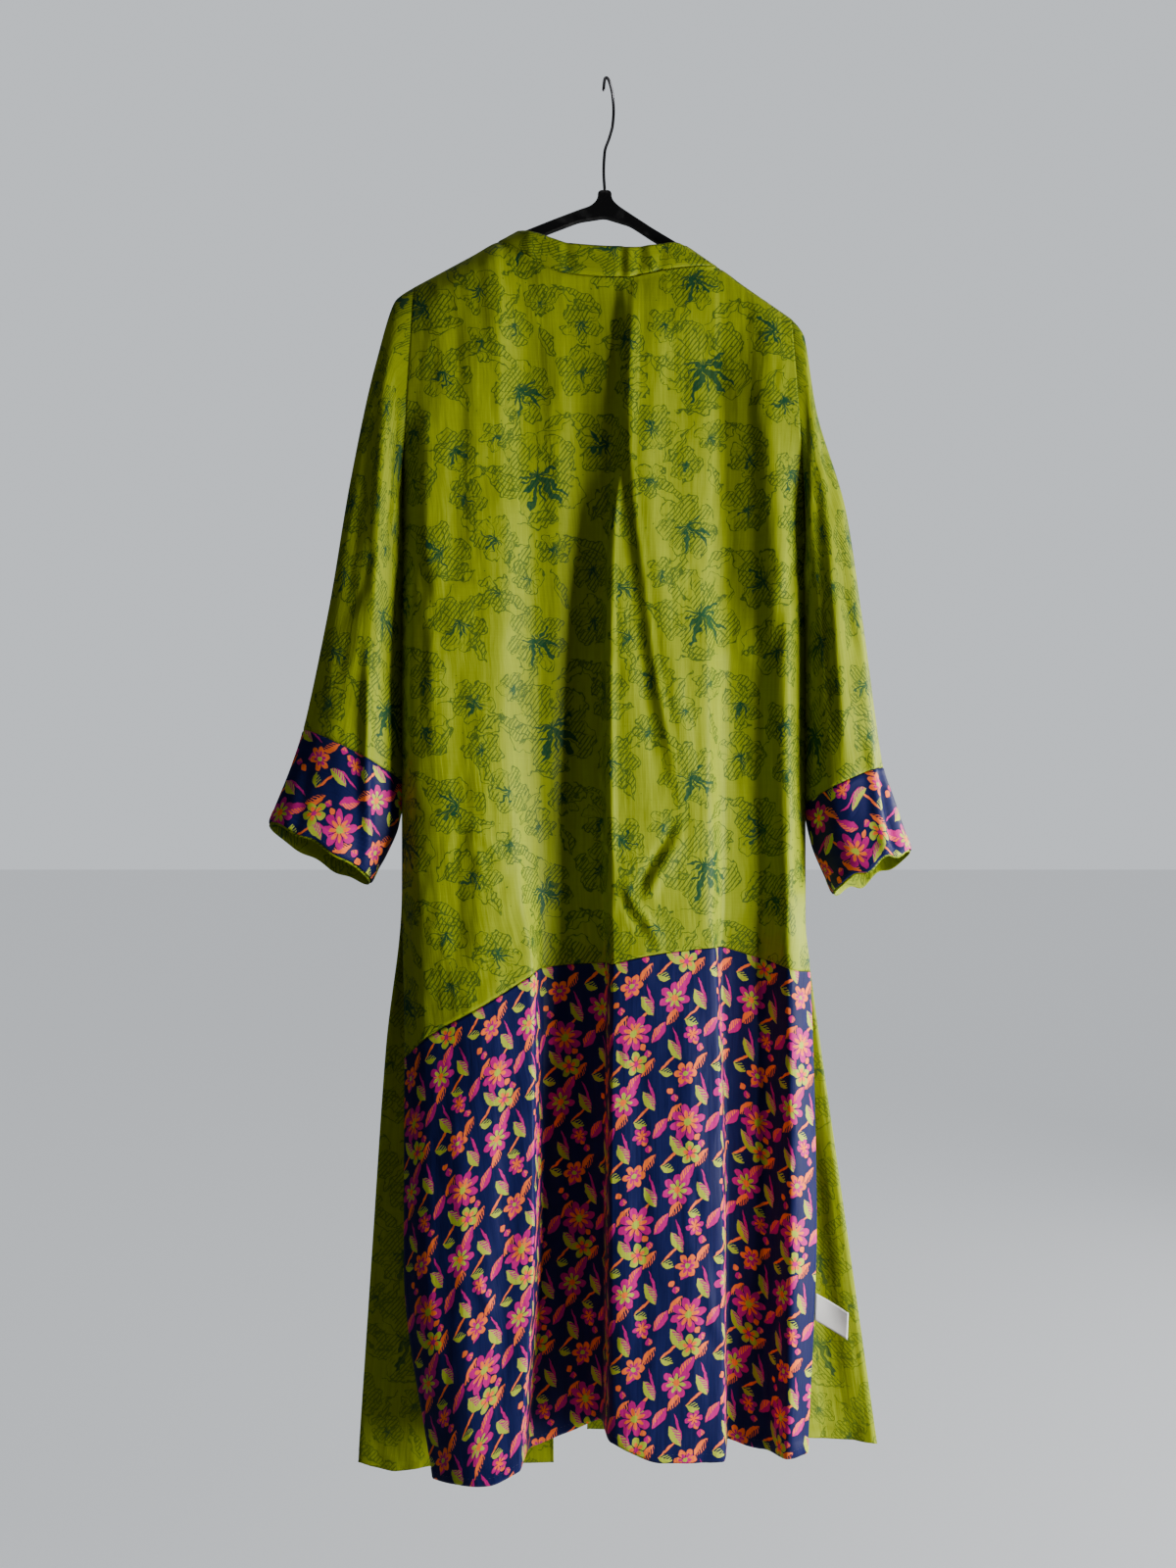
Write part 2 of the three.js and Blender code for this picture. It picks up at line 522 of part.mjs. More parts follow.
function buildHanger() {
  const { armLeft, armRight, crownLeft, crownRight, boss, armHeight, topDrop } = HANGER;
  const onArm = (x) => ({ x, z: ridgeHeight(x) - topDrop });
  const flat = ({ x, z }) => new THREE.Vector2(x, z);
  const lowered = ({ x, z }) => ({ x, z: z - armHeight });
  const left = [onArm(armLeft.tip), onArm(armLeft.neck), ...crownLeft];
  const right = [...crownRight, onArm(armRight.neck), onArm(armRight.tip)];
  const { x, halfWidth, foot, top } = boss;
  const bossLine = [
    { x: x - 2 * halfWidth, z: foot },
    { x: x - halfWidth, z: foot + halfWidth },
    { x: x - halfWidth, z: top },
    { x: x + halfWidth, z: top },
    { x: x + halfWidth, z: foot + halfWidth },
    { x: x + 2 * halfWidth, z: foot },
  ];
  const underside = [...left, { x, z: foot }, ...right].map(lowered).reverse();
  const outline = new THREE.Shape([...left, ...bossLine, ...right, ...underside].map(flat));
  const body = new THREE.ExtrudeGeometry(outline, {
    depth: HANGER.thickness - 2 * HANGER.bevel,
    bevelThickness: HANGER.bevel,
    bevelSize: HANGER.bevel,
    bevelOffset: -HANGER.bevel,
    bevelSegments: HANGER.bevelSteps,
  });
  body.rotateX(Math.PI / 2).translate(0, HANGER.thickness / 2 - HANGER.bevel, 0);
  addPiece("hanger_body", body, COLOURS.plastic, 0.4);
}

function buildHook() {
  const section = new THREE.Shape();
  section.absarc(0, 0, WIRE_RADIUS, 0, 2 * Math.PI);
  const extrudePath = new THREE.CatmullRomCurve3(HOOK_BENDS.map(vector));
  const wire = new THREE.ExtrudeGeometry(section, {
    steps: HOOK_STEPS,
    curveSegments: WIRE_SIDES / 2,
    extrudePath,
    bevelEnabled: false,
  });
  addPiece("hanger_hook", wire, COLOURS.wire, 0.35);
}

const back = buildBack();
const left = buildFront("left", FRONT_LEFT_LINES, -1);
const right = buildFront("right", FRONT_RIGHT_LINES, 1);
buildNeckband([...left.bandSeam.toReversed(), ...back.neckSeam, ...right.bandSeam]);
buildSleeve("left", -1, (v) => back.surface(0, v), (v) => left.surface(0, v));
buildSleeve("right", 1, (v) => back.surface(back.lastU, v), (v) => right.surface(0, v));
buildLabel(back);
buildHanger();
buildHook();

export default robe;
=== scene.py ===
"""Two-print kimono robe on its hanger, seen from the back. Metres, +Z up, the back faces -Y."""
import math
from collections import namedtuple

import bmesh
import bpy
from bpy.props import FloatProperty, FloatVectorProperty, PointerProperty
from mathutils import Matrix, Vector, noise


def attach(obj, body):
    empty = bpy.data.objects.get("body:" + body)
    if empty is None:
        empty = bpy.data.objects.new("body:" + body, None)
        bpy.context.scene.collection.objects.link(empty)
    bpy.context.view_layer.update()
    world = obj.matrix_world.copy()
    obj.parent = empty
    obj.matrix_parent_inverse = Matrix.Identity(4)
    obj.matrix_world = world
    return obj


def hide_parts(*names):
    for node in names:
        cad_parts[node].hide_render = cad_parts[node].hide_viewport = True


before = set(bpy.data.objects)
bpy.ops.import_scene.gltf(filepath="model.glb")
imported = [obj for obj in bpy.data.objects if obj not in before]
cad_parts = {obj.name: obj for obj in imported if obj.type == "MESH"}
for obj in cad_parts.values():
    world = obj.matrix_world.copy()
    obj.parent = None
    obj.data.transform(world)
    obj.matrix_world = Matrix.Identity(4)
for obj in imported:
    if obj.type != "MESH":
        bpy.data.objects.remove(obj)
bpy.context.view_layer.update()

bl_info = {
    "name": "Kimono Robe",
    "version": (1, 0, 0),
    "blender": (4, 5, 0),
    "location": "3D View > Sidebar > Kimono",
    "description": "Builds a two-print kimono robe on its hanger, with a plain studio",
    "category": "Object",
}

BODY = "root"
UV_NAME = "flat_cut"

# Levels of the body, from the shoulder ridge to the hem, as the cut runs
# below: height under the top edge; z and z_right: fixed height on the left and right sides;
# fold: share of the hem folds' depth; base: depth of the unfolded cloth
Level = namedtuple("Level", "name base fold below z z_right", defaults=(None, None, None))
LEVELS = (
    Level("ridge", 0.0, 0.0, below=0.0),
    Level("over", 0.007, 0.0, below=0.004),
    Level("yoke", 0.013, 0.10, below=0.022),
    Level("chest", 0.020, 0.32, z=-0.330, z_right=-0.352),
    Level("underarm", 0.022, 0.46, z=-0.448, z_right=-0.474),
    Level("waist", 0.022, 0.70, z=-0.600, z_right=-0.610),
    Level("slit", 0.020, 0.88, z=-0.822, z_right=-0.850),
    Level("join", 0.0, 1.0),
    Level("knee", 0.0, 1.0),
    Level("hem", 0.0, 1.0),
)
LEVEL = {level.name: place for place, level in enumerate(LEVELS)}
KNEE_SHARE = 0.5
SLIT_SHARE = 0.6
WAIST_LEFT = -0.211
WAIST_RIGHT = 0.201
WAIST_Z = -0.605

Hole = namedtuple("Hole", "top_x top_z low_x low_z depth")
ARMHOLE = {
    "left": Hole(-0.198, -0.210, -0.210, -0.448, 0.020),
    "right": Hole(0.186, -0.242, 0.200, -0.474, 0.020),
}
Ridge = namedtuple("Ridge", "x z slope")
RIDGE = {"left": Ridge(-0.114, -0.1647, 0.539), "right": Ridge(0.111, -0.190, -0.693)}

# Fold lines from one side to the other: x at each level, z and y where the line needs its own
Line = namedtuple(
    "Line", "name top waist join join_z join_y knee knee_y hem hem_z hem_y top_z top_y", defaults=(None, None)
)
BACK_LINES = (
    Line("side_left", -0.198, -0.211, -0.207, -0.994, -0.012, -0.206, -0.024, -0.176, -1.409, -0.036),
    Line("crest_a_start", -0.172, -0.197, -0.184, -0.972, -0.032, -0.176, -0.048, -0.147, -1.405, -0.058),
    Line("crest_a_middle", -0.140, -0.150, -0.120, -0.934, -0.044, -0.120, -0.054, -0.118, -1.403, -0.064),
    Line("crest_a_end", -0.114, -0.112, -0.076, -0.907, -0.038, -0.075, -0.050, -0.088, -1.391, -0.060),
    Line("wall_a", -0.106, -0.088, -0.072, -0.905, -0.020, -0.071, -0.024, -0.084, -1.394, -0.026,
         -0.1674, -0.0085),
    Line("valley_a_start", -0.085, -0.064, -0.067, -0.904, -0.004, -0.066, 0.002, -0.080, -1.398, 0.008,
         -0.181, -0.014),
    Line("valley_a_middle", -0.046, -0.034, -0.034, -0.901, 0.002, -0.034, 0.008, -0.042, -1.386, 0.016,
         -0.201, -0.016),
    Line("valley_a_end", 0.004, -0.010, -0.005, -0.899, -0.003, -0.006, 0.003, -0.008, -1.369, 0.010,
         -0.205, -0.016),
    Line("crest_b_start", 0.019, 0.002, 0.004, -0.896, -0.039, 0.002, -0.049, 0.002, -1.366, -0.052,
         -0.205, -0.016),
    Line("crest_b_middle", 0.050, 0.046, 0.054, -0.885, -0.042, 0.056, -0.052, 0.052, -1.382, -0.062,
         -0.199, -0.016),
    Line("crest_b_end", 0.082, 0.088, 0.104, -0.880, -0.037, 0.111, -0.047, 0.112, -1.382, -0.058,
         -0.194, -0.014),
    Line("wall_b", 0.107, 0.104, 0.109, -0.881, -0.024, 0.116, -0.028, 0.117, -1.383, -0.030,
         -0.1918, -0.009),
    Line("valley_b_start", 0.114, 0.122, 0.114, -0.882, -0.010, 0.121, -0.008, 0.122, -1.384, -0.002),
    Line("valley_b_end", 0.138, 0.150, 0.154, -0.894, -0.008, 0.156, -0.007, 0.156, -1.394, -0.004),
    Line("crest_c", 0.162, 0.178, 0.180, -0.902, -0.032, 0.182, -0.038, 0.178, -1.388, -0.040),
    Line("side_right", 0.186, 0.201, 0.204, -0.907, -0.012, 0.209, -0.022, 0.199, -1.386, -0.030),
)
FRONT_LINES = {
    "left": (
        Line("side", -0.198, -0.211, -0.230, -0.990, 0.020, -0.247, 0.036, -0.263, -1.431, 0.048),
        Line("crest_one", -0.176, -0.190, -0.206, -0.990, 0.026, -0.214, 0.034, -0.226, -1.437, 0.041),
        Line("valley_one", -0.152, -0.156, -0.164, -0.990, 0.020, -0.170, 0.027, -0.178, -1.429, 0.036),
        Line("crest_two", -0.132, -0.124, -0.128, -0.990, 0.038, -0.130, 0.050, -0.132, -1.434, 0.064),
        Line("band_seam", -0.114, -0.097, -0.094, -0.990, 0.030, -0.094, 0.037, -0.093, -1.431, 0.046),
    ),
    "right": (
        Line("side", 0.186, 0.201, 0.212, -0.930, 0.022, 0.247, 0.031, 0.282, -1.408, 0.040),
        Line("crest_one", 0.170, 0.180, 0.186, -0.930, 0.026, 0.208, 0.039, 0.234, -1.407, 0.050),
        Line("valley_one", 0.152, 0.140, 0.138, -0.930, 0.022, 0.150, 0.029, 0.166, -1.400, 0.035),
        Line("crest_two", 0.132, 0.096, 0.082, -0.930, 0.040, 0.084, 0.052, 0.086, -1.402, 0.066),
        Line("band_seam", 0.111, 0.052, 0.028, -0.930, 0.030, 0.018, 0.037, 0.014, -1.396, 0.046),
    ),
}
NECK_FROM = 3
NECK_TO = 12
BACK_CENTRE = 9
BACK_LAST = len(BACK_LINES) - 1
FRONT_LAST = len(FRONT_LINES["left"]) - 1

# Which way each side faces along X
OUTWARD = {"left": -1, "right": 1}

# Neckband: its width, as a vector from its seam to its free edge, at places along it
# at: 0 is the left front's hem, 1 the left ridge, 2 the right ridge and 3 the right front's hem
Width = namedtuple("Width", "at x y z")
HEM = LEVEL["hem"]
BAND_WIDTHS = (
    Width(0.0, 0.036, 0.0, 0.001),
    Width(1 - LEVEL["waist"] / HEM, 0.035, 0.0, -0.001),
    Width(1 - LEVEL["chest"] / HEM, 0.030, 0.0, 0.0),
    Width(1 - LEVEL["yoke"] / HEM, 0.025, 0.0, 0.009),
    Width(1 - LEVEL["over"] / HEM, 0.023, 0.0, 0.0124),
    Width(1.0, 0.023, 0.0, 0.0124),
    Width(1.11, 0.022, 0.0, 0.0115),
    Width(1.22, 0.014, 0.0, 0.021),
    Width(1.33, 0.007, 0.001, 0.031),
    Width(1.5, 0.0, 0.001, 0.032),
    Width(1.67, -0.006, 0.001, 0.027),
    Width(1.78, -0.016, 0.0, 0.025),
    Width(1.89, -0.032, 0.0, 0.0216),
    Width(2.0, -0.033, 0.0, 0.0229),
    Width(2 + LEVEL["over"] / HEM, -0.033, 0.0, 0.0229),
    Width(2 + LEVEL["yoke"] / HEM, -0.033, 0.0, 0.013),
    Width(2 + LEVEL["chest"] / HEM, -0.034, 0.0, 0.0),
    Width(2 + LEVEL["waist"] / HEM, -0.036, 0.0, -0.003),
    Width(3.0, -0.036, 0.0, 0.001),
)

# Sleeves: rings from the armhole (0) over the cuff's seam (1) to the cuff's hem (2)
# depth: half the tube's depth; tilt: how far the side that faces -Y lies higher;
# tuck: how far behind the body's side the inner edge lies
Ring = namedtuple("Ring", "at out_x out_z in_x in_z depth tilt tuck")
SLEEVES = {
    "left": (
        Ring(0.00, -0.198, -0.210, -0.210, -0.448, 0.020, 0.0, 0.0),
        Ring(0.08, -0.216, -0.223, -0.2105, -0.462, 0.021, 0.0, 0.005),
        Ring(0.25, -0.238, -0.292, -0.2070, -0.500, 0.025, 0.0, 0.009),
        Ring(0.50, -0.263, -0.410, -0.2070, -0.560, 0.029, 0.002, 0.010),
        Ring(0.75, -0.283, -0.530, -0.2070, -0.630, 0.032, 0.005, 0.010),
        Ring(1.00, -0.311, -0.664, -0.2080, -0.716, 0.035, 0.009, 0.008),
        Ring(1.35, -0.322, -0.698, -0.2140, -0.758, 0.036, 0.010, 0.004),
        Ring(2.00, -0.346, -0.759, -0.242, -0.815, 0.035, 0.013, 0.0),
    ),
    "right": (
        Ring(0.00, 0.186, -0.242, 0.200, -0.474, 0.020, 0.0, 0.0),
        Ring(0.08, 0.198, -0.258, 0.2005, -0.486, 0.021, 0.0, 0.005),
        Ring(0.25, 0.211, -0.335, 0.1970, -0.525, 0.025, 0.0, 0.009),
        Ring(0.50, 0.241, -0.438, 0.1970, -0.585, 0.030, 0.002, 0.010),
        Ring(0.75, 0.258, -0.552, 0.1975, -0.660, 0.035, 0.006, 0.009),
        Ring(1.00, 0.279, -0.702, 0.200, -0.738, 0.040, 0.009, 0.007),
        Ring(1.35, 0.290, -0.734, 0.207, -0.776, 0.041, 0.010, 0.004),
        Ring(2.00, 0.307, -0.787, 0.229, -0.826, 0.042, 0.012, 0.0),
    ),
}
SLEEVE_SQUARENESS = 0.8
SLEEVE_TUCK = 0.010
RING_CELLS = 96
ARMHOLE_BLEND = 0.08
SEAM_ALLOWANCE = 0.005
# Heights of a sleeve's first rings, which lie under the panels' edges
ARMHOLE_TUCK = (-0.0034, -0.0014, 0.0002)
ARMHOLE_RISE = 0.03
# How far a sleeve's last rings draw in under its cuff, the last one first
SLEEVE_DRAW = (0.0032, 0.0014, 0.0004)
# How steeply the creases fade towards a sleeve's outer and inner edges
SLEEVE_FADE = 6.4
# How far the creases lie away, out and up, on the side of a sleeve that faces +Y
FAR_CREASES = (0.012, 0.02)
CUFF_PUCKER = 0.7
FACING_FROM = 1.25
FACING_GAP = 0.0006

Crease = namedtuple("Crease", "route width height")


def creases(*rows):
    """Creases from rows in millimetres: half width, height, then X and Z of each place on the route.

    A trough has a negative height."""
    made = []
    for row in rows:
        width, height, *route = [value / 1000 for value in row]
        made.append(Crease(list(zip(route[::2], route[1::2])), width, height))
    return made


# Creases placed one by one
BACK_CREASES = creases(
    (4, 1.4, 90, -560, 104, -580, 122, -590),
    (5, 1.4, -180, -500, -150, -520, -110, -515),
    (5, 1.6, -160, -740, -130, -765, -100, -800),
    (4.5, -1.3, -185, -640, -160, -655, -120, -650),
    (4.5, 1.4, 130, -700, 150, -720, 170, -728),
    (3.6, 3.2, 12, -390, 4, -470, 2.5, -600, 3, -740, 5, -840),
    (6, -1, -7, -420, -10, -600, -9, -820),
    (40, -9, 72, -235, 80, -340, 94, -460, 112, -600),
    (30, -4.5, -88, -235, -96, -340, -104, -440),
    (9, -3, 12, -335, 14, -430, 31, -584, 58, -751),
    (4.2, 3, 17, -345, 24, -430, 43, -584, 72, -751),
    (11, 3, 30, -340, 38, -430, 58, -584, 86, -751),
    (6, 3.2, 26, -210, 22, -300, 21, -420),
    (8, -3.4, 8, -210, 6, -320, 4, -440),
    (5, -3, 69, -745, 54, -779, 39, -803, 29, -826),
    (7, 2.8, 74, -760, 60, -790, 45, -815, 36, -840),
    (4.5, 2.6, 14, -812, 26, -838, 39, -852, 55, -890),
    (4, -2.2, 10, -822, 22, -850, 36, -866),
    (6, 3, 97, -470, 99, -696, 102, -771, 105, -880),
    (15, -3.6, -22, -240, -26, -480, -34, -760, -36, -900),
    (13, 3.4, -50, -230, -52, -520, -62, -800),
    (11, 2.4, 46, -235, 47, -320, 44, -395),
    (13, -3.4, 88, -225, 112, -330, 122, -520, 130, -760),
    (12, 3.4, 146, -245, 158, -400, 166, -640, 168, -850),
    (7, 1.8, 120, -560, 141, -590, 166, -604),
    (5, 1.4, 60, -560, 88, -556, 112, -566),
    (11, -3, -158, -215, -150, -330, -156, -560),
    (13, 3, -114, -190, -104, -300, -98, -470, -104, -640),
    (10, 2.8, -186, -300, -180, -480, -172, -720),
    (8, -2.4, -205, -460, -184, -510, -166, -580),
    (8, -2.6, 196, -480, 176, -535, 160, -610),
    (6, 1.6, -140, -760, -126, -805, -96, -800),
    (14, -2.8, -152, -560, -146, -760, -150, -930),
    (7, -2, -164, -1190, -120, -1184, -86, -1170),
    (13, 2.6, -150, -1000, -146, -1180, -140, -1400),
    (11, -2.4, -100, -980, -102, -1160, -108, -1380),
    (4, 2.2, -132, -1196, -122, -1222, -112, -1236),
    (10, -2.6, 30, -930, 31, -1120, 28, -1370),
    (10, 2.6, 76, -910, 82, -1080, 84, -1380),
    (4, -2.4, 78, -1085, 86, -1130, 83, -1180),
    (4.5, 2.4, 94, -1175, 98, -1230, 104, -1262),
    (11, 4, 146, -900, 150, -1130, 146, -1385),
    (8, 3.4, -52, -930, -50, -1150, -60, -1385),
    (8, -3, -22, -920, -20, -1160, -26, -1370),
)
FRONT_CREASES = creases(
    (12, 3.2, -166, -230, -160, -420, -168, -700),
    (10, -3, -140, -230, -138, -420, -142, -640),
    (8, -2.6, -204, -470, -176, -540, -158, -640),
    (12, -2.6, -190, -700, -196, -960, -212, -1300),
    (11, 3, -120, -560, -112, -900, -114, -1260),
    (8, 3, -244, -1020, -240, -1200, -250, -1400),
    (6, -2.2, -200, -1180, -176, -1230, -160, -1310),
    (12, 3, 160, -260, 156, -430, 150, -700),
    (11, -3, 138, -250, 128, -420, 104, -700),
    (8, -2.8, 194, -490, 166, -560, 146, -660),
    (12, 3.4, 176, -760, 196, -1000, 236, -1340),
    (11, 3, 70, -660, 52, -940, 48, -1300),
    (7, -2.8, 226, -1040, 240, -1200, 262, -1390),
    (6, -2.2, 120, -1120, 140, -1180, 150, -1260),
)
SLEEVE_CREASES = {
    "left": creases(
        (7, 3.4, -222, -250, -230, -420, -239, -600),
        (4.6, 7.2, -240, -560, -242, -700, -242, -777, -249, -815),
        (7, -3.2, -216, -340, -222, -500, -224, -690),
        (11, -3, -240, -330, -256, -470, -272, -640),
        (9, 2.6, -236, -300, -258, -400, -284, -560),
        (6, -1.8, -300, -690, -306, -730, -316, -780),
        (5, -1.6, -232, -470, -246, -520, -266, -556),
    ),
    "right": creases(
        (7, 3.6, 200, -280, 214, -420, 226, -580, 240, -760),
        (7, -3.2, 208, -360, 216, -520, 222, -690),
        (8, -3.4, 212, -330, 234, -470, 254, -640),
        (8, 3.2, 220, -380, 246, -520, 268, -700),
        (5.2, 4.8, 258, -660, 266, -740, 277, -800),
        (4.2, -3.6, 268, -670, 277, -740, 288, -790),
        (5, -2, 222, -500, 240, -540, 252, -590),
    ),
}
BAND_TUCKS = creases(
    (4.2, -1.2, 13, -168, 13, -212),
    (4.2, 1.4, 21, -168, 21, -212),
    (3.4, -1.3, 33, -168, 30, -212),
    (3.6, 1.4, 40, -168, 46, -210),
    (3.8, -1.2, 56, -166, 51, -208),
    (4.4, -1.6, -44, -160, -40, -205),
    (5, 1.4, -82, -150, -78, -195),
)

# Share of a crease's route over which it rises from nothing, and how many half widths it reaches
CREASE_RISE = 0.22
CREASE_REACH = 3
# The level at which a panel's creases begin, and over how many levels they rise
BACK_RISE = (0.8, 1.0)
FRONT_RISE = (1.0, 1.6)
# Share of a fold line over which the creases fade at a panel's side edges
EDGE_FADE = 0.6
# Noise of the ripples: waves in a metre across and down, how they mix, and the slant of the second
SOFT_WAVES = (26, 2.2, 0.7)
SLANTED_WAVES = (38, 7, 0.3)
SLANT = 9
FINE_WAVES = (95, 42)
# Puckers over a hem: how far up they reach, their height, and waves in a metre
PUCKER_REACH = 0.035
PUCKER_HEIGHT = 0.0016
PUCKER_WAVES = 62

# How far the cuffs' lower edges wave up and down, how many waves go across, and where they start
CUFF_WAVE = {"left": (0.0020, 2.6, 0.4), "right": (0.0042, 2.3, 2.6)}

# How a piece's edge rolls under at a seam: distance in from the edge, and height
SEAM_ROLL = ((0.005, 0.0), (0.0016, 0.0002), (0.0, -0.0012), (-0.004, -0.0030))
# How a hem is turned up: distance from the edge, and height
HEM_TURN = ((0.0135, 0.0), (0.0115, 0.0005), (0.0075, 0.0006), (0.0025, 0.0006), (0.0, -0.0002))
# The row over a hem that its stitches follow
HEM_STITCH = 2
# How far in from its edge a seam or a hem is shaped
SEAM_REACH = 0.005
HEM_REACH = 0.05

# Across the neckband: share of its width, and height there; then its cells up a front, round the
# neck and down a front, the place of its stitches, and the share of the ripples that it shows
BAND_PROFILE = (
    (-0.12, -0.0026), (0.0, -0.0018), (0.03, -0.0004), (0.08, 0.0003), (0.16, 0.0006), (0.3, 0.0005),
    (0.45, 0.0005), (0.6, 0.0005), (0.75, 0.0005), (0.88, 0.0006), (0.96, 0.0005), (1.0, -0.0004),
)
BAND_CELLS = (300, 110, 300)
BAND_STITCH = 4
BAND_RIPPLE = 0.35

# Hanger: its thickness and the rounding of its outline's corners and of its edges
HANGER_THICKNESS = 0.008
HANGER_CORNER = 0.004
HANGER_EDGE = 0.0022
# The hanger's outline, from the left tip over the boss to the right tip
ARM_HEIGHT = 0.0117
ARM_DROP = 0.0035
ARM_TIPS = (-0.180, 0.168)
ARM_NECKS = (-0.091, 0.078)
CROWN_LEFT = ((-0.059, -0.143), (-0.030, -0.132))
CROWN_RIGHT = ((0.022, -0.136), (0.045, -0.151))
BOSS_X = -0.004
BOSS_HALF = 0.007
BOSS_FOOT = -0.128
BOSS_TOP = -0.112
# Middle line of the hook's wire, from the boss to its tip
HOOK_BENDS = (
    (-0.004, 0.0, -0.1117),
    (-0.005, 0.0, -0.092),
    (-0.004, 0.002, -0.072),
    (0.001, 0.010, -0.053),
    (0.0045, 0.018, -0.036),
    (0.0055, 0.0215, -0.020),
    (0.004, 0.0155, -0.005),
    (0.0, 0.0, 0.0015),
    (-0.004, -0.0155, -0.005),
    (-0.0055, -0.021, -0.020),
)
WIRE_RADIUS = 0.0015
HOOK_STEPS = 90
HOOK_SIDES = 16

# Care label: sewn to the back's right edge between two places down the panel
LABEL_FROM = 8.34
LABEL_TO = 8.45
LABEL_REACH = 0.032
LABEL_FALL = 0.018
LABEL_CURL = -0.006
LABEL_LIFT = 0.0012
LABEL_THICKNESS = 0.0005
LABEL_ROWS = 14
LABEL_COLUMNS = 18

# Flat size of each piece's cut, as far as it shows: width, length and area
Cut = namedtuple("Cut", "width length area")
CUTS = {
    "back_upper": Cut(0.44, 0.82, 0.33),
    "back_lower": Cut(0.52, 0.52, 0.26),
    "front_left": Cut(0.20, 1.27, 0.175),
    "front_right": Cut(0.30, 1.22, 0.22),
    "neckband": Cut(0.037, 2.92, None),
    "sleeve_left": Cut(0.27, 0.55, 0.078),
    "sleeve_right": Cut(0.26, 0.54, 0.071),
    "cuff_left": Cut(0.28, 0.11, None),
    "cuff_right": Cut(0.235, 0.10, None),
    "cuff_facing_left": Cut(0.27, 0.08, None),
    "cuff_facing_right": Cut(0.235, 0.075, None),
    "care_label": Cut(0.037, 0.027, None),
}

# Sketched flowers of the green print, in one repeat of the flat cloth, and the leaves between them
Repeat = namedtuple("Repeat", "step drop height")
GREEN_REPEAT = Repeat(0.180, 0.118, 0.252)
SPRIG_REPEAT = Repeat(0.090, 0.059, 0.126)
SketchBloom = namedtuple("SketchBloom", "x y size petals turn heart")
SKETCH_BLOOMS = (
    SketchBloom(0.048, 0.062, 0.049, 5, 0.4, 0.80),
    SketchBloom(0.134, 0.028, 0.028, 6, 1.1, 0.60),
    SketchBloom(0.120, 0.098, 0.031, 5, 2.3, 0.70),
    SketchBloom(0.034, 0.150, 0.033, 7, 0.2, 0.85),
    SketchBloom(0.096, 0.172, 0.026, 5, 0.9, 0.45),
    SketchBloom(0.152, 0.156, 0.020, 5, 1.7, 0.60),
    SketchBloom(0.098, 0.222, 0.022, 6, 0.5, 0.60),
    SketchBloom(0.030, 0.214, 0.018, 5, 1.3, 0.50),
    SketchBloom(0.006, 0.100, 0.016, 6, 0.8, 0.55),
    SketchBloom(0.177, 0.114, 0.024, 6, 2.0, 0.60),
    SketchBloom(0.144, 0.204, 0.023, 5, 0.3, 0.75),
    SketchBloom(0.174, 0.060, 0.018, 5, 1.5, 0.50),
    SketchBloom(0.057, 0.243, 0.017, 7, 0.7, 0.55),
)
SketchLeaf = namedtuple("SketchLeaf", "x y length width turn")
SKETCH_LEAVES = (
    SketchLeaf(0.010, 0.058, 0.022, 0.009, 0.5),
    SketchLeaf(0.020, 0.106, 0.021, 0.008, 2.2),
    SketchLeaf(0.070, 0.120, 0.018, 0.007, -0.6),
    SketchLeaf(0.062, 0.074, 0.016, 0.006, 1.2),
    SketchLeaf(0.048, 0.020, 0.019, 0.007, -0.2),
)
SKETCH_LINE = 0.0006
HATCH_PITCH = 0.0046
STRIPE_PITCH = 0.0032
# How strongly the lines and the hearts cover the silk, and the share of it that its reverse shows
LINE_STRENGTH = 0.78
HEART_STRENGTH = 0.9
REVERSE_SHARE = 0.75

# Bold motifs of the navy print, in one repeat of the flat cloth
NAVY_REPEAT = Repeat(0.094, 0.052, 0.105)
LEAF_REPEAT = Repeat(0.047, 0.026, 0.0525)
BoldBloom = namedtuple("BoldBloom", "x y size petals turn petal inner heart")
BOLD_BLOOMS = (
    BoldBloom(0.0191, 0.0207, 0.0180, 8, 0.2, "magenta", "orange", "lime"),
    BoldBloom(0.0669, 0.0191, 0.0116, 6, 0.5, "orange", "magenta", "lime"),
    BoldBloom(0.0478, 0.0622, 0.0154, 7, 0.9, "magenta", "lime", "orange"),
    BoldBloom(0.0829, 0.0749, 0.0116, 5, 0.1, "lime", "orange", "magenta"),
    BoldBloom(0.0112, 0.0797, 0.0092, 6, 0.7, "magenta", "orange", "orange"),
)
BoldLeaf = namedtuple("BoldLeaf", "x y length width turn blade half")
BOLD_LEAVES = (
    BoldLeaf(0.0060, 0.0120, 0.0140, 0.0013, 0.3, "magenta", "magenta"),
    BoldLeaf(0.0330, 0.0290, 0.0130, 0.0013, -0.9, "orange", "orange"),
    BoldLeaf(0.0438, 0.0350, 0.0120, 0.0050, 0.5, "lime", "magenta"),
    BoldLeaf(0.0160, 0.0460, 0.0115, 0.0052, 2.5, "magenta", "orange"),
    BoldLeaf(0.0300, 0.0080, 0.0105, 0.0046, -0.7, "orange", "navy"),
    BoldLeaf(0.0230, 0.0260, 0.0070, 0.0046, 1.2, "lime", "navy"),
    BoldLeaf(0.0440, 0.0080, 0.0040, 0.0036, 0.0, "magenta", "orange"),
    BoldLeaf(0.0040, 0.0300, 0.0034, 0.0032, 0.6, "orange", "orange"),
)

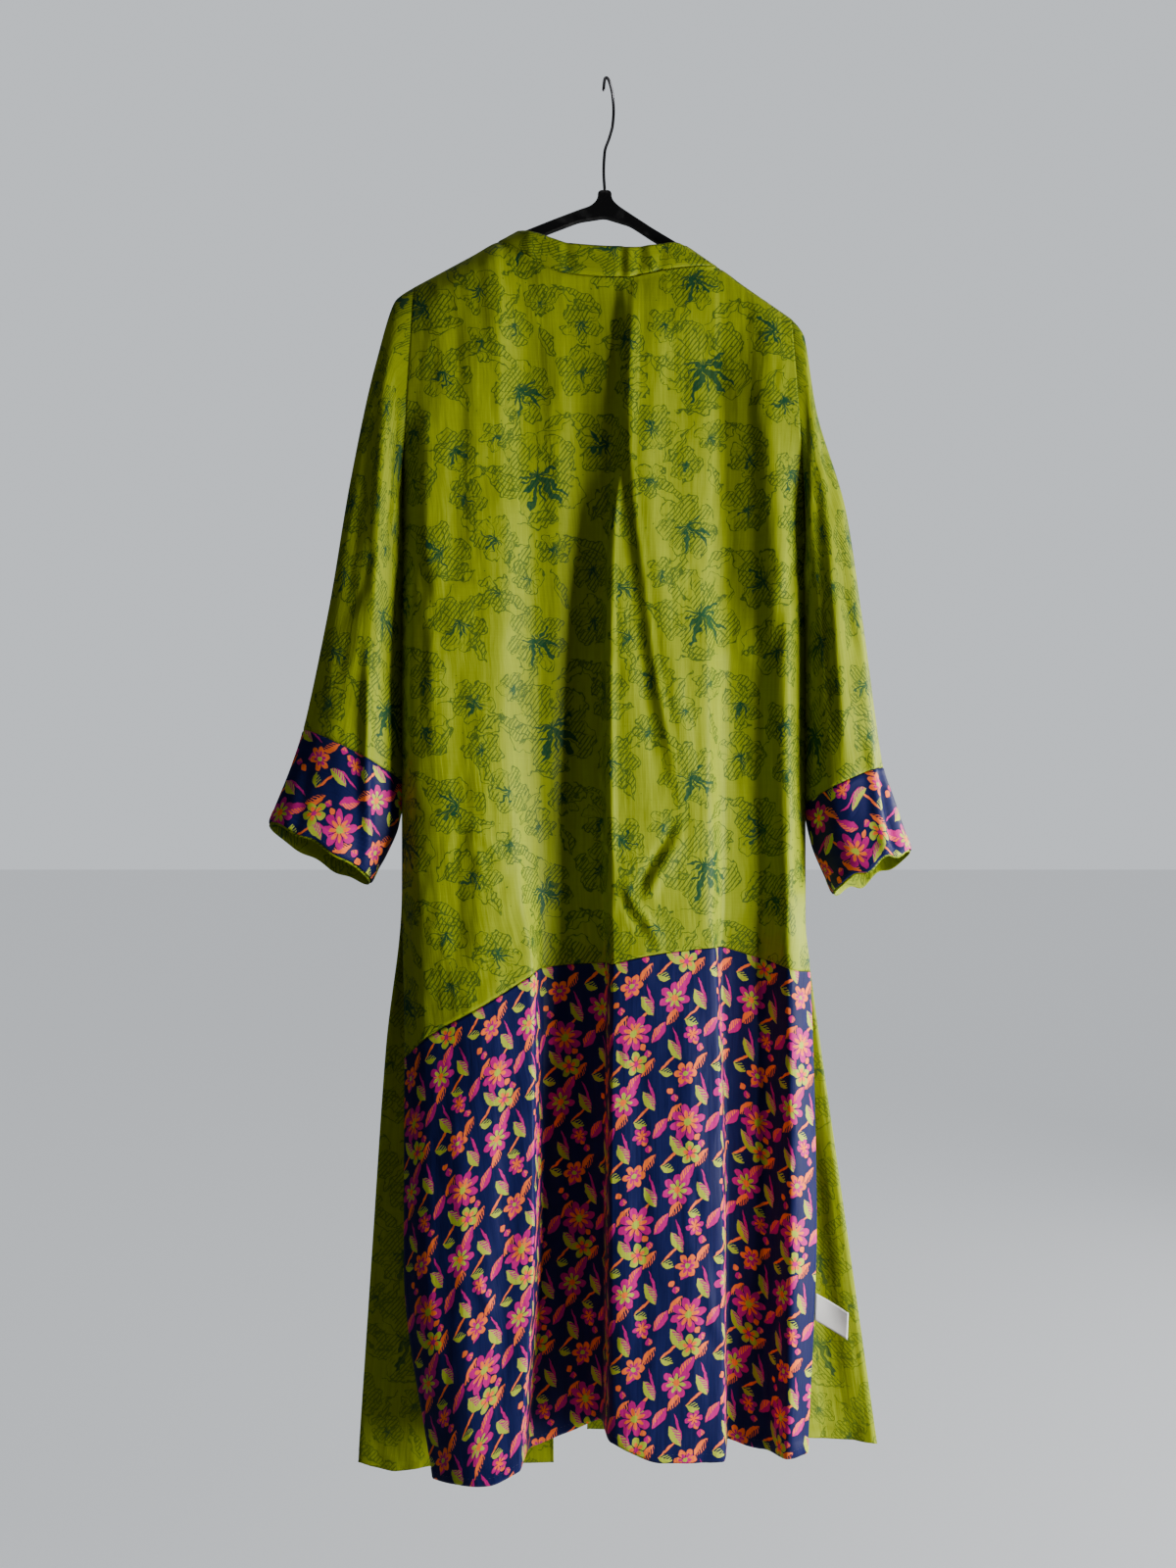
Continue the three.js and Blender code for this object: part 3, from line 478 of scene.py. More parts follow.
# Studio lamps: what sets each one's power, and how much of it. The key light aims low and spreads
# little, so that the shoulders dim as in the photograph.
Lamp = namedtuple("Lamp", "name at aim size setting share tint spread")
LAMPS = (
    Lamp("key", (1.75, -0.80, -1.12), (0, 0, -1.02), 0.9, "key", 1.0, (1.0, 0.98, 0.95), math.radians(100)),
    Lamp("fill", (-1.6, -1.9, 0.1), (0, 0, -0.75), 1.6, "fill", 1.0, (0.94, 0.97, 1.0), math.pi),
    Lamp("back_light", (1.9, 0.85, -0.6), (0, 0, -0.75), 0.9, "key", 1.1, (1.0, 0.98, 0.96), math.pi),
)
OVERHEAD_ANGLE = math.radians(60)

# Camera of the photograph: where it stands, its sensor, and the photograph's height and focal
# length in pixels. Then the floor's height and half its width.
CAMERA_AT = (-0.021, -1.5, -0.717)
SENSOR = 36.0
PHOTO_HEIGHT_PX = 1600
FOCAL_PX = 1500
FLOOR_Z = -1.62
FLOOR_REACH = 14


def colour_default(code):
    """Scene-linear red, green and blue of a six-digit screen colour."""
    channels = [int(code[k:k + 2], 16) / 255 for k in (0, 2, 4)]
    return tuple(((c + 0.055) / 1.055) ** 2.4 if c > 0.04045 else c / 12.92 for c in channels)


def colour(name, code):
    """A colour that the panel shows, with its default as a screen colour."""
    label = name[0].upper() + name[1:]
    return FloatVectorProperty(
        name=label, description=f"{label} colour", subtype="COLOR", size=3, min=0, max=1,
        default=colour_default(code),
    )


def length(name, description, default, largest):
    """A length that the panel shows."""
    return FloatProperty(
        name=name, description=description, default=default, min=0.0, max=largest, unit="LENGTH", precision=4,
    )


class KimonoSizes(bpy.types.PropertyGroup):
    """Sizes of the cloth and its sewing."""

    cloth: length("Cloth", "Thickness of the silk", 0.0010, 0.01)
    facing: length("Facing", "Thickness of the cuff facings", 0.0008, 0.01)
    cell: length("Cell", "Length of the mesh's cells down the cloth", 0.0055, 0.05)
    cell_across: length("Cell across", "Width of the mesh's cells", 0.0035, 0.05)
    ripple: length("Ripple", "Height of the soft ripples all over the cloth", 0.0026, 0.02)
    crinkle: length("Crinkle", "Height of the fine crinkles", 0.0007, 0.01)
    stitch: length("Stitch", "Length of one stitch", 0.0026, 0.01)
    stitch_gap: length("Stitch gap", "Gap between two stitches", 0.0016, 0.01)
    thread: length("Thread", "Thickness of the sewing thread", 0.0003, 0.002)


class KimonoColours(bpy.types.PropertyGroup):
    """Colours of the cloths and fittings."""

    green: colour("green silk", "869414")
    ink: colour("sketch ink", "12401c")
    heart_ink: colour("flower heart ink", "07402a")
    navy: colour("navy silk", "0e1446")
    magenta: colour("magenta motifs", "b80c78")
    orange: colour("orange motifs", "f5702c")
    lime: colour("lime motifs", "a9b832")
    thread: colour("sewing thread", "6f7a1a")
    navy_thread: colour("navy thread", "1a2050")
    label: colour("label satin", "dcdcda")
    plastic: colour("hanger plastic", "0b0b0c")
    steel: colour("hook steel", "5a5a5e")
    floor: colour("floor", "909295")
    world: colour("world", "dfe4ea")


def strength(name, description, default, unit="NONE"):
    """A strength of light that the panel shows."""
    return FloatProperty(name=name, description=description, default=default, min=0, unit=unit)


class KimonoStage(bpy.types.PropertyGroup):
    """Strength of the studio's light."""

    key: strength("Key light", "Power of the key light", 34.0, "POWER")
    fill: strength("Fill light", "Power of the fill light", 3.6, "POWER")
    overhead: strength("Overhead", "Soft light from above", 0.45)
    world: strength("World", "Light that the pale world gives", 0.05)
    sky: strength("Sky", "Brightness of the world as it is seen", 0.95)
    floor_glow: strength("Floor", "Extra paleness of the floor as seen", 0.70)


def mix(a, b, share):
    return a + (b - a) * share


def clamp(share):
    return min(max(share, 0.0), 1.0)


def eased(share):
    """Share from 0 to 1 that starts and ends gently."""
    share = clamp(share)
    return share * share * (3 - 2 * share)


def eased_ends(share):
    """Share from 0 to 1 whose steps are smaller near both ends."""
    return mix(share, (1 - math.cos(math.pi * share)) / 2, 0.6)


def ridge_height(x):
    ridge = RIDGE["left" if x < 0 else "right"]
    return ridge.z + (x - ridge.x) * ridge.slope


def along(values, place):
    """Smooth value at a place through values one step apart, without swinging past any of them."""
    last = len(values) - 1
    place = min(max(place, 0), last)
    i = min(int(place), last - 1)

    def step(k):
        return values[k + 1] - values[k]

    def slope(k):
        if k == 0:
            return step(0)
        if k == last:
            return step(last - 1)
        before = step(k - 1)
        after = step(k)
        return 2 * before * after / (before + after) if before * after > 0 else 0.0

    f = place - i
    rise = step(i)
    start = slope(i)
    end = slope(i + 1)
    return values[i] + f * (start + f * (3 * rise - 2 * start - end + f * (start + end - 2 * rise)))


def along_rows(rows, column, at):
    """Smooth value at a place in a table whose rows are uneven steps apart in their column at."""
    last = len(rows) - 1
    i = max([k for k, row in enumerate(rows) if row.at <= at], default=0)
    i = min(i, last - 1)
    place = i + (at - rows[i].at) / (rows[i + 1].at - rows[i].at)
    return along([getattr(row, column) for row in rows], place)


def control_point(line, level, face):
    """Point of a fold line at a level. face is -1 on the back and 1 on the fronts."""
    if level.name in ("join", "knee", "hem"):
        z = {"join": line.join_z, "knee": mix(line.join_z, line.hem_z, KNEE_SHARE), "hem": line.hem_z}
        y = {"join": line.join_y, "knee": line.knee_y, "hem": line.hem_y}
        return Vector((getattr(line, level.name), y[level.name], z[level.name]))
    top_z = ridge_height(line.top) if line.top_z is None else line.top_z
    rightward = (line.waist - WAIST_LEFT) / (WAIST_RIGHT - WAIST_LEFT)
    z = mix(level.z, level.z_right, rightward) if level.below is None else top_z - level.below
    if line.name.startswith("side"):
        hole = ARMHOLE["left" if line.top < 0 else "right"]
        share = min((hole.top_z - z) / (hole.top_z - hole.low_z), 1)
        rounded = math.sqrt(max(1 - (1 - 2 * share) ** 2, 0))
        x = mix(hole.top_x, hole.low_x, share) if share < 1 else line.waist
        return Vector((x, face * rounded * hole.depth, z))
    from_top = min((top_z - z) / (top_z - WAIST_Z), 1)
    x = mix(line.top, line.waist, from_top)
    if level.name == "slit":
        x = mix(line.waist, line.join, SLIT_SHARE)
    plain_y = face * max(level.base, abs(line.top_y or 0))
    return Vector((x, mix(plain_y, line.join_y, level.fold), z))


class Panel:
    """Smooth surface through the fold lines of a body panel: place u across and v down."""

    def __init__(self, lines, face):
        self.rows = [[control_point(line, level, face) for line in lines] for level in LEVELS]

    def column(self, u):
        """The points of the levels at place u."""
        return [[along([point[axis] for point in row], u) for row in self.rows] for axis in range(3)]

    def on_column(self, column, v):
        """The point at place v of a column, which runs straight on past its ends."""
        inside = min(max(v, 0), HEM)
        point = Vector([along(values, inside) for values in column])
        if v == inside:
            return point
        nearby = Vector([along(values, inside - math.copysign(0.02, v - inside)) for values in column])
        return point + (point - nearby) * abs(v - inside) / 0.02

    def point(self, u, v):
        return self.on_column(self.column(u), v)


BACK = Panel(BACK_LINES, -1)
FRONTS = {side: Panel(lines, 1) for side, lines in FRONT_LINES.items()}


def spread(first, last, span_of, cell):
    """Places from first to last, with cells of about one size between two whole places."""
    places = []
    for start in range(first, last):
        count = max(2, math.ceil(span_of(start) / cell))
        places += [start + k / count for k in range(count)]
    return places + [last]


def across_places(panel, count, cell):
    """Places across a panel, close enough for its folds at the join."""
    join = LEVEL["join"]

    def span(u):
        points = [panel.point(u + k / 8, join) for k in range(9)]
        return sum((b - a).length for a, b in zip(points, points[1:]))

    return spread(0, count, span, cell)


def level_length(panel, v):
    """Length of a panel from a level to the next one down."""
    return (panel.point(1, v + 1) - panel.point(1, v)).length


def down_places(panel, first, last, cell):
    """Places down a panel between two levels."""
    return spread(first, last, lambda v: level_length(panel, v), cell)


def nearest_row(down, level):
    """The row of the places down a panel that lies nearest to a level."""
    return min(range(len(down)), key=lambda i: abs(down[i] - LEVEL[level]))


def with_edge(places, edge, steps, unit):
    """Places with the rows of a seam or hem at one end in place of the plain ones there.

    steps lists the distances in from the edge, and unit is one place's length."""
    inward = 1 if edge == places[0] else -1
    reach = max(steps) / unit
    kept = [place for place in places if (place - edge) * inward > reach * 1.2]
    return sorted(kept + [edge + inward * step / unit for step in steps])


def grid_normals(grid, turn, ring=False):
    """Outward unit normals of a grid of points."""
    rows = len(grid)
    columns = len(grid[0])
    normals = []
    for i in range(rows):
        above = grid[max(i - 1, 0)]
        under = grid[min(i + 1, rows - 1)]
        line = []
        for j in range(columns):
            before = (j - 1) % (columns - 1) if ring else max(j - 1, 0)
            after = (j % (columns - 1)) + 1 if ring else min(j + 1, columns - 1)
            across = grid[i][after] - grid[i][before]
            line.append((under[j] - above[j]).cross(across).normalized() * turn)
        normals.append(line)
    return normals


def crease_height(creases, x, z):
    """Height that a table of creases gives the cloth at X and Z."""
    total = 0.0
    for crease in creases:
        reach = CREASE_REACH * crease.width
        route = crease.route
        if not min(route[0][1], route[-1][1]) - reach < z < max(route[0][1], route[-1][1]) + reach:
            continue
        nearest = None
        legs = len(route) - 1
        for leg in range(legs):
            (x1, z1), (x2, z2) = route[leg], route[leg + 1]
            dx = x2 - x1
            dz = z2 - z1
            share = clamp(((x - x1) * dx + (z - z1) * dz) / (dx * dx + dz * dz))
            away = math.hypot(x - x1 - share * dx, z - z1 - share * dz)
            if nearest is None or away < nearest[0]:
                nearest = (away, (leg + share) / legs)
        away, share = nearest
        if away < reach:
            ends = eased(share / CREASE_RISE) * eased((1 - share) / CREASE_RISE)
            total += crease.height * ends * math.exp(-((away / crease.width) ** 2))
    return total


def ripple_height(sizes, point, seed):
    """Height of the soft ripples and the fine crinkles at a point of the cloth."""
    x, _, z = point
    across, down, soft_share = SOFT_WAVES
    soft = noise.noise(Vector((x * across, seed, z * down)))
    across, down, slanted_share = SLANTED_WAVES
    slanted = noise.noise(Vector((x * across + z * SLANT, seed + 7, z * down)))
    fine = noise.noise(Vector((x * FINE_WAVES[0], seed + 3, z * FINE_WAVES[1])))
    return sizes.ripple * (soft_share * soft + slanted_share * slanted) + sizes.crinkle * fine


def hem_wave(point, distance, seed):
    """Small puckers that fade out above a hem."""
    wave = noise.noise(Vector((point.x * PUCKER_WAVES, seed + 11, 0.5)))
    return PUCKER_HEIGHT * eased(1 - distance / PUCKER_REACH) * wave


def lay_cloth(points, flat, turn, ring=False):
    """Bmesh of a grid of points, with flat as its UVs in metres. A ring's last column is its first."""
    rows = len(points) - 1
    columns = len(points[0]) - 1
    bm = bmesh.new()
    bmesh.ops.create_grid(bm, x_segments=columns, y_segments=rows, size=1)
    cuts = []
    for vertex in bm.verts:
        i = round((1 - vertex.co.y) / 2 * rows)
        j = round((vertex.co.x + 1) / 2 * columns)
        vertex.co = points[i][j]
        cuts.append(flat[i][j])
    bm.verts.index_update()
    layer = bm.loops.layers.uv.new(UV_NAME)
    for face in bm.faces:
        face.smooth = True
        for loop in face.loops:
            loop[layer].uv = cuts[loop.vert.index]
    if ring:
        bmesh.ops.remove_doubles(bm, verts=bm.verts, dist=1e-6)
    if turn < 0:
        bmesh.ops.reverse_faces(bm, faces=bm.faces)
    return bm


def flat_places(points, centre, start, keep_slope=False):
    """Where each point lies on the flat cut: across from the centre column, down from a row.

    keep_slope measures across along the rows, and otherwise without their rise."""
    across = []
    for line in points:
        run = [0.0]
        for a, b in zip(line, line[1:]):
            step = b - a
            run.append(run[-1] + (step.length if keep_slope else math.hypot(step.x, step.y)))
        across.append([value - run[centre] for value in run])
    down = [[0.0] * len(points[0])]
    for above, line in zip(points, points[1:]):
        down.append([run + math.hypot(b.y - a.y, b.z - a.z) for run, a, b in zip(down[-1], above, line)])
    return [
        [(across[i][j], down[start][j] - down[i][j]) for j in range(len(points[0]))]
        for i in range(len(points))
    ]


def add_object(name, data):
    """Object of a mesh, lamp or camera, in the scene."""
    thing = bpy.data.objects.new(name, data)
    bpy.context.scene.collection.objects.link(thing)
    return thing


def add_mesh(name, bm, *materials):
    """Object of a finished bmesh, at the origin."""
    mesh = bpy.data.meshes.new(name)
    bm.to_mesh(mesh)
    bm.free()
    for material in materials:
        mesh.materials.append(material)
    piece = add_object(name, mesh)
    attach(piece, BODY)
    return piece


def thicken(piece, thickness):
    """Gives a cloth piece its wall, inwards from the outer face, with the cloth's reverse inside."""
    wall = piece.modifiers.new("Cloth thickness", "SOLIDIFY")
    wall.thickness = thickness
    wall.offset = -1
    wall.material_offset = 1
    wall.use_rim = True


def add_cloth(node, bm, thickness, materials):
    """A cloth piece with its wall, which stands for its CAD node and hides that node."""
    piece = add_mesh(node + "_cloth", bm, *materials)
    thicken(piece, thickness)
    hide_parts(node)
    return piece


def sew(name, route, normals, material, sizes):
    """A row of stitches along a route of points, laid on the cloth."""
    bm = bmesh.new()
    stretch = Matrix.Diagonal((sizes.stitch / 2, sizes.thread / 2, sizes.thread / 2, 1))
    pitch = sizes.stitch + sizes.stitch_gap
    travelled = 0.0
    due = pitch / 2
    for a, b, normal in zip(route, route[1:], normals):
        leg = (b - a).length
        while due < travelled + leg and leg > 0:
            forward = (b - a).normalized()
            side = normal.cross(forward).normalized()
            up = forward.cross(side)
            turned = Matrix((forward, side, up)).transposed().to_4x4()
            centre = a.lerp(b, (due - travelled) / leg) + up * sizes.thread * 0.3
            place = Matrix.Translation(centre) @ turned @ stretch
            bmesh.ops.create_icosphere(bm, subdivisions=1, radius=1, matrix=place)
            due += pitch
        travelled += leg
    for face in bm.faces:
        face.smooth = True
    piece = add_mesh(name, bm, material)
    return piece


def sew_hem(name, points, normals, material, sizes):
    """A row of stitches round a hem, where its turned edge lies."""
    row = -1 - HEM_STITCH
    return sew(name, points[row], normals[row], material, sizes)


class Wiring:
    """Short calls that add nodes to one tree and link or set their inputs."""

    def __init__(self, tree):
        self.tree = tree

    def put(self, socket, value):
        if isinstance(value, bpy.types.NodeSocket):
            self.tree.links.new(value, socket)
        else:
            socket.default_value = value

    def add(self, kind, inputs=None, **settings):
        """A shader node with its settings, and its inputs by name or number."""
        node = self.tree.nodes.new("ShaderNode" + kind)
        count = len(self.tree.nodes)
        node.location = (220 * (count % 14), -260 * (count // 14))
        for name, value in settings.items():
            setattr(node, name, value)
        for key, value in (inputs or {}).items():
            self.put(node.inputs[key], value)
        return node

    def math(self, operation, *values):
        node = self.add("Math", dict(enumerate(values)), operation=operation)
        return node.outputs[0]

    def vector(self, operation, *values):
        node = self.add("VectorMath", dict(enumerate(values)), operation=operation)
        return node.outputs["Value" if operation in ("LENGTH", "DOT_PRODUCT") else "Vector"]

    def split(self, vector):
        node = self.add("SeparateXYZ", {0: vector})
        return node.outputs[0], node.outputs[1]

    def join(self, x, y, z=0.0):
        return self.add("CombineXYZ", {0: x, 1: y, 2: z}).outputs[0]

    def below(self, value, limit, blur):
        """1 where the value is under the limit, 0 over it, and soft between."""
        if isinstance(limit, bpy.types.NodeSocket):
            value = self.math("SUBTRACT", value, limit)
            limit = 0.0
        node = self.add(
            "MapRange",
            {
                "Value": value, "From Min": limit - blur, "From Max": limit + blur, "To Min": 1.0,
                "To Max": 0.0,
            },
            interpolation_type="SMOOTHSTEP",
        )
        return node.outputs["Result"]

    def noise(self, vector, scale, detail):
        return self.add("TexNoise", {"Vector": vector, "Scale": scale, "Detail": detail}).outputs["Fac"]

    def streaks(self, vector, scales, detail):
        """Noise with its own number of waves in a metre in each direction."""
        return self.noise(self.vector("MULTIPLY", vector, scales), 1.0, detail)

    def blend(self, share, a, b, mode="MIX"):
        node = self.add("Mix", {0: share, 6: a, 7: b}, data_type="RGBA", blend_type=mode)
        return node.outputs[2]

    def jitter(self, vector, scale, detail, roughness=0.5):
        """Noise from -0.5 to 0.5 in each direction."""
        inputs = {"Vector": vector, "Scale": scale, "Detail": detail, "Roughness": roughness}
        return self.vector("SUBTRACT", self.add("TexNoise", inputs).outputs["Color"], (0.5, 0.5, 0.5))

    def largest(self, values):
        total = values[0]
        for value in values[1:]:
            total = self.math("MAXIMUM", total, value)
        return total

    def bump(self, height, strength, distance):
        node = self.add("Bump", {"Strength": strength, "Distance": distance, "Height": height})
        return node.outputs["Normal"]

    def flat_cut(self):
        return self.add("UVMap", uv_map=UV_NAME).outputs["UV"]

    def fill(self, node, **values):
        """Sets or links inputs of a node by name, where _ stands for a space."""
        for name, value in values.items():
            self.put(node.inputs[name.replace("_", " ")], value)

    def use(self, group, **inputs):
        """Outputs of a group node with its inputs filled."""
        node = self.tree.nodes.new("ShaderNodeGroup")
        node.node_tree = group
        self.fill(node, **inputs)
        return node.outputs


# Kinds of the sockets of node groups. All others are plain numbers.
SOCKET_KINDS = {
    "Vector": "NodeSocketVector",
    "Centre": "NodeSocketVector",
    "Cloth": "NodeSocketVector",
    "Place": "NodeSocketVector",
    "Color": "NodeSocketColor",
}


def make_group(name, inputs, outputs):
    """Empty shader node group with named inputs and outputs, and its wiring."""
    group = bpy.data.node_groups.new(name, "ShaderNodeTree")
    for side, labels in (("INPUT", inputs), ("OUTPUT", outputs)):
        for label in labels.split():
            kind = SOCKET_KINDS.get(label, "NodeSocketFloat")
            group.interface.new_socket(label, in_out=side, socket_type=kind)
    taken = group.nodes.new("NodeGroupInput").outputs
    given = group.nodes.new("NodeGroupOutput").inputs
    return group, Wiring(group), taken, given


def nearest_repeat_group(name, repeat):
    """From the flat cloth to the nearest copy of a motif, in a print whose columns step down."""
    group, w, taken, given = make_group(name, "Vector Centre", "Vector")
    x, y = w.split(w.vector("SUBTRACT", taken["Vector"], taken["Centre"]))
    column = w.math("ROUND", w.math("DIVIDE", x, repeat.step))
    near_x = w.math("MULTIPLY_ADD", column, -repeat.step, x)
    fallen = w.math("MULTIPLY_ADD", column, -repeat.drop, y)
    near_y = w.math("WRAP", fallen, repeat.height / 2, -repeat.height / 2)
    w.put(given["Vector"], w.join(near_x, near_y))
    return group


def opaque(shade, dim=1.0):
    """Red, green, blue and alpha of a colour, dimmed by a factor."""
    return (*(dim * channel for channel in shade), 1.0)


def petal_polar_group():
    """Distance from a flower's centre, as a share of its size, and how far into a petal it is."""
    group, w, taken, given = make_group("petal_polar", "Vector Size Petals Turn", "Radius Petal Angle")
    x, y = w.split(taken["Vector"])
    angle = w.math("ADD", w.math("ARCTAN2", y, x), taken["Turn"])
    swing = w.math("COSINE", w.math("MULTIPLY", w.math("MULTIPLY", angle, taken["Petals"]), 0.5))
    w.put(given["Petal"], w.math("ABSOLUTE", swing))
    w.put(given["Angle"], angle)
    w.put(given["Radius"], w.math("DIVIDE", w.vector("LENGTH", taken["Vector"]), taken["Size"]))
    return group


def sketched_bloom_group(polar):
    """A hand-drawn flower: doubled petal outlines, hatching and a dark feathery heart."""
    group, w, taken, given = make_group(
        "sketched_bloom", "Vector Size Petals Turn Heart Hatch Patch", "Ink Heart"
    )
    size = taken["Size"]
    place = w.use(polar, Vector=taken["Vector"], Size=size, Petals=taken["Petals"], Turn=taken["Turn"])
    radius = place["Radius"]
    rim = w.math("MULTIPLY_ADD", w.math("POWER", place["Petal"], 0.55), 0.42, 0.58)
    beyond = w.math("MULTIPLY", w.math("SUBTRACT", radius, rim), size)
    outline = w.below(w.math("ABSOLUTE", beyond), SKETCH_LINE, 0.0003)
    off_second = w.math("ABSOLUTE", w.math("ADD", beyond, 0.0042))
    second = w.math("MULTIPLY", w.below(off_second, SKETCH_LINE * 0.7, 0.0003), taken["Patch"])
    across = w.math("MULTIPLY", place["Petal"], radius)
    to_side = w.math("MULTIPLY", across, w.math("MULTIPLY", size, 0.4))
    side_line = w.below(to_side, SKETCH_LINE, 0.0004)
    inside = w.math("LESS_THAN", beyond, 0.0)
    side = w.math("MULTIPLY", side_line, inside)
    veined = w.below(w.math("ABSOLUTE", w.math("SUBTRACT", place["Petal"], 0.82)), 0.035, 0.03)
    vein_run = w.below(w.math("ABSOLUTE", w.math("SUBTRACT", radius, 0.55)), 0.24, 0.05)
    vein = w.math("MULTIPLY", veined, vein_run)
    hatched = w.math("MULTIPLY", w.math("MULTIPLY", taken["Hatch"], inside), taken["Patch"])
    lines = w.largest([outline, second, side, hatched, w.math("MULTIPLY", vein, inside)])
    angle = place["Angle"]
    wide = w.math("COSINE", w.math("MULTIPLY_ADD", angle, 5.0, 1.3))
    narrow = w.math("SINE", w.math("MULTIPLY_ADD", radius, 3.0, w.math("MULTIPLY", angle, 13.0)))
    strokes = w.math("MULTIPLY_ADD", wide, 0.24, w.math("MULTIPLY_ADD", narrow, 0.34, 0.44))
    strokes = w.math("MAXIMUM", strokes, 0.10)
    one_sided = w.math("MULTIPLY_ADD", w.math("COSINE", w.math("ADD", angle, 0.7)), 0.42, 0.68)
    reach = w.math("MULTIPLY", w.math("MULTIPLY", strokes, one_sided), taken["Heart"])
    w.put(given["Ink"], lines)
    w.put(given["Heart"], w.below(radius, reach, 0.014))
    return group


def leaf_place(w, taken):
    """A leaf's place turned into line, its shares along and across, and how far past the rim."""
    inputs = {"Vector": taken["Vector"], "Angle": taken["Turn"]}
    x, y = w.split(w.add("VectorRotate", inputs, rotation_type="Z_AXIS").outputs[0])
    lengthwise = w.math("DIVIDE", x, taken["Length"])
    crosswise = w.math("DIVIDE", y, taken["Width"])
    rim = w.math("SUBTRACT", 1.0, w.math("MULTIPLY", lengthwise, lengthwise))
    return x, y, lengthwise, crosswise, w.math("SUBTRACT", w.math("ABSOLUTE", crosswise), rim)


def sketched_leaf_group():
    """A hand-drawn leaf: outline, midrib with its stalk, and hatching on one half."""
    group, w, taken, given = make_group("sketched_leaf", "Vector Length Width Turn Hatch", "Ink")
    _, y, along_leaf, _, over = leaf_place(w, taken)
    off_rim = w.math("MULTIPLY", w.math("ABSOLUTE", over), taken["Width"])
    outline = w.below(off_rim, SKETCH_LINE, 0.0004)
    rib = w.below(w.math("ABSOLUTE", y), SKETCH_LINE, 0.0004)
    rib_run = w.below(w.math("ABSOLUTE", w.math("ADD", along_leaf, 0.3)), 1.2, 0.05)
    inside = w.below(over, 0.0, 0.02)
    upper = w.math("GREATER_THAN", y, 0.0)
    hatched = w.math("MULTIPLY", w.math("MULTIPLY", inside, upper), taken["Hatch"])
    lines = w.math("MAXIMUM", outline, w.math("MULTIPLY", rib, rib_run))
    w.put(given["Ink"], w.math("MAXIMUM", lines, hatched))
    return group


def sketch_print_group(polar):
    """The whole sketched flower print: masks of its lines and of its dark hearts."""
    group, w, taken, given = make_group("sketch_print", "Cloth", "Ink Heart")
    nearest = nearest_repeat_group("green_repeat", GREEN_REPEAT)
    sprigs = nearest_repeat_group("sprig_repeat", SPRIG_REPEAT)
    bloom = sketched_bloom_group(polar)
    leaf = sketched_leaf_group()
    cloth = taken["Cloth"]
    pull = w.jitter(cloth, 85.0, 1.6, 0.65)
    sway = w.add("VectorMath", {0: pull, "Scale": 0.017}, operation="SCALE").outputs[0]
    drawn = w.vector("MULTIPLY", w.vector("ADD", cloth, sway), (1.0, 1.0, 0.0))
    x, y = w.split(w.vector("MULTIPLY_ADD", sway, (0.15, 0.15, 0.0), cloth))
    slant = w.math("DIVIDE", w.math("ADD", x, w.math("MULTIPLY", y, -0.75)), HATCH_PITCH)
    off_line = w.math("ABSOLUTE", w.math("SUBTRACT", w.math("FRACT", slant), 0.5))
    hatch = w.below(off_line, 0.16, 0.06)
    patch = w.below(w.noise(cloth, 46.0, 1.0), 0.56, 0.04)
    inks = []
    hearts = []
    for motif in SKETCH_BLOOMS:
        near = w.use(nearest, Vector=drawn, Centre=(motif.x, motif.y, 0.0))["Vector"]
        drawing = w.use(
            bloom, Vector=near, Size=motif.size, Petals=motif.petals, Turn=motif.turn, Heart=motif.heart,
            Hatch=hatch, Patch=patch,
        )
        inks.append(drawing["Ink"])
        hearts.append(drawing["Heart"])
    for motif in SKETCH_LEAVES:
        near = w.use(sprigs, Vector=drawn, Centre=(motif.x, motif.y, 0.0))["Vector"]
        drawing = w.use(
            leaf, Vector=near, Length=motif.length, Width=motif.width, Turn=motif.turn, Hatch=hatch
        )
        inks.append(drawing["Ink"])
    inks.append(w.below(0.735, w.noise(cloth, 210.0, 2.0), 0.01))
    w.put(given["Ink"], w.largest(inks))
    w.put(given["Heart"], w.largest(hearts))
    return group


def bold_bloom_group(polar):
    """A bold flat flower: separate round petals, their inner halves and a round heart."""
    group, w, taken, given = make_group("bold_bloom", "Vector Size Petals Turn", "Petal Inner Heart")
    place = w.use(
        polar, Vector=taken["Vector"], Size=taken["Size"], Petals=taken["Petals"], Turn=taken["Turn"]
    )
    radius = place["Radius"]
    rim = w.math("MULTIPLY_ADD", w.math("POWER", place["Petal"], 0.6), 0.6, 0.4)
    apart = w.math("GREATER_THAN", w.math("MULTIPLY", place["Petal"], radius), 0.09)
    w.put(given["Petal"], w.math("MULTIPLY", w.below(radius, rim, 0.02), apart))
    inner_rim = w.math("MULTIPLY_ADD", place["Petal"], 0.5, 0.12)
    w.put(given["Inner"], w.math("MULTIPLY", w.below(radius, inner_rim, 0.03), apart))
    w.put(given["Heart"], w.below(radius, 0.2, 0.03))
    return group


def bold_leaf_group():
    """A bold flat leaf: its blade, and stripes over one half."""
    group, w, taken, given = make_group("bold_leaf", "Vector Length Width Turn", "Blade Half")
    x, y, _, across_leaf, over = leaf_place(w, taken)
    blade = w.below(over, 0.0, 0.04)
    pitches = w.math("FRACT", w.math("DIVIDE", w.math("ADD", x, y), STRIPE_PITCH))
    stripes = w.math("GREATER_THAN", pitches, 0.38)
    half = w.math("MULTIPLY", w.math("GREATER_THAN", across_leaf, 0.04), stripes)
    w.put(given["Blade"], blade)
    w.put(given["Half"], w.math("MULTIPLY", half, blade))
    return group


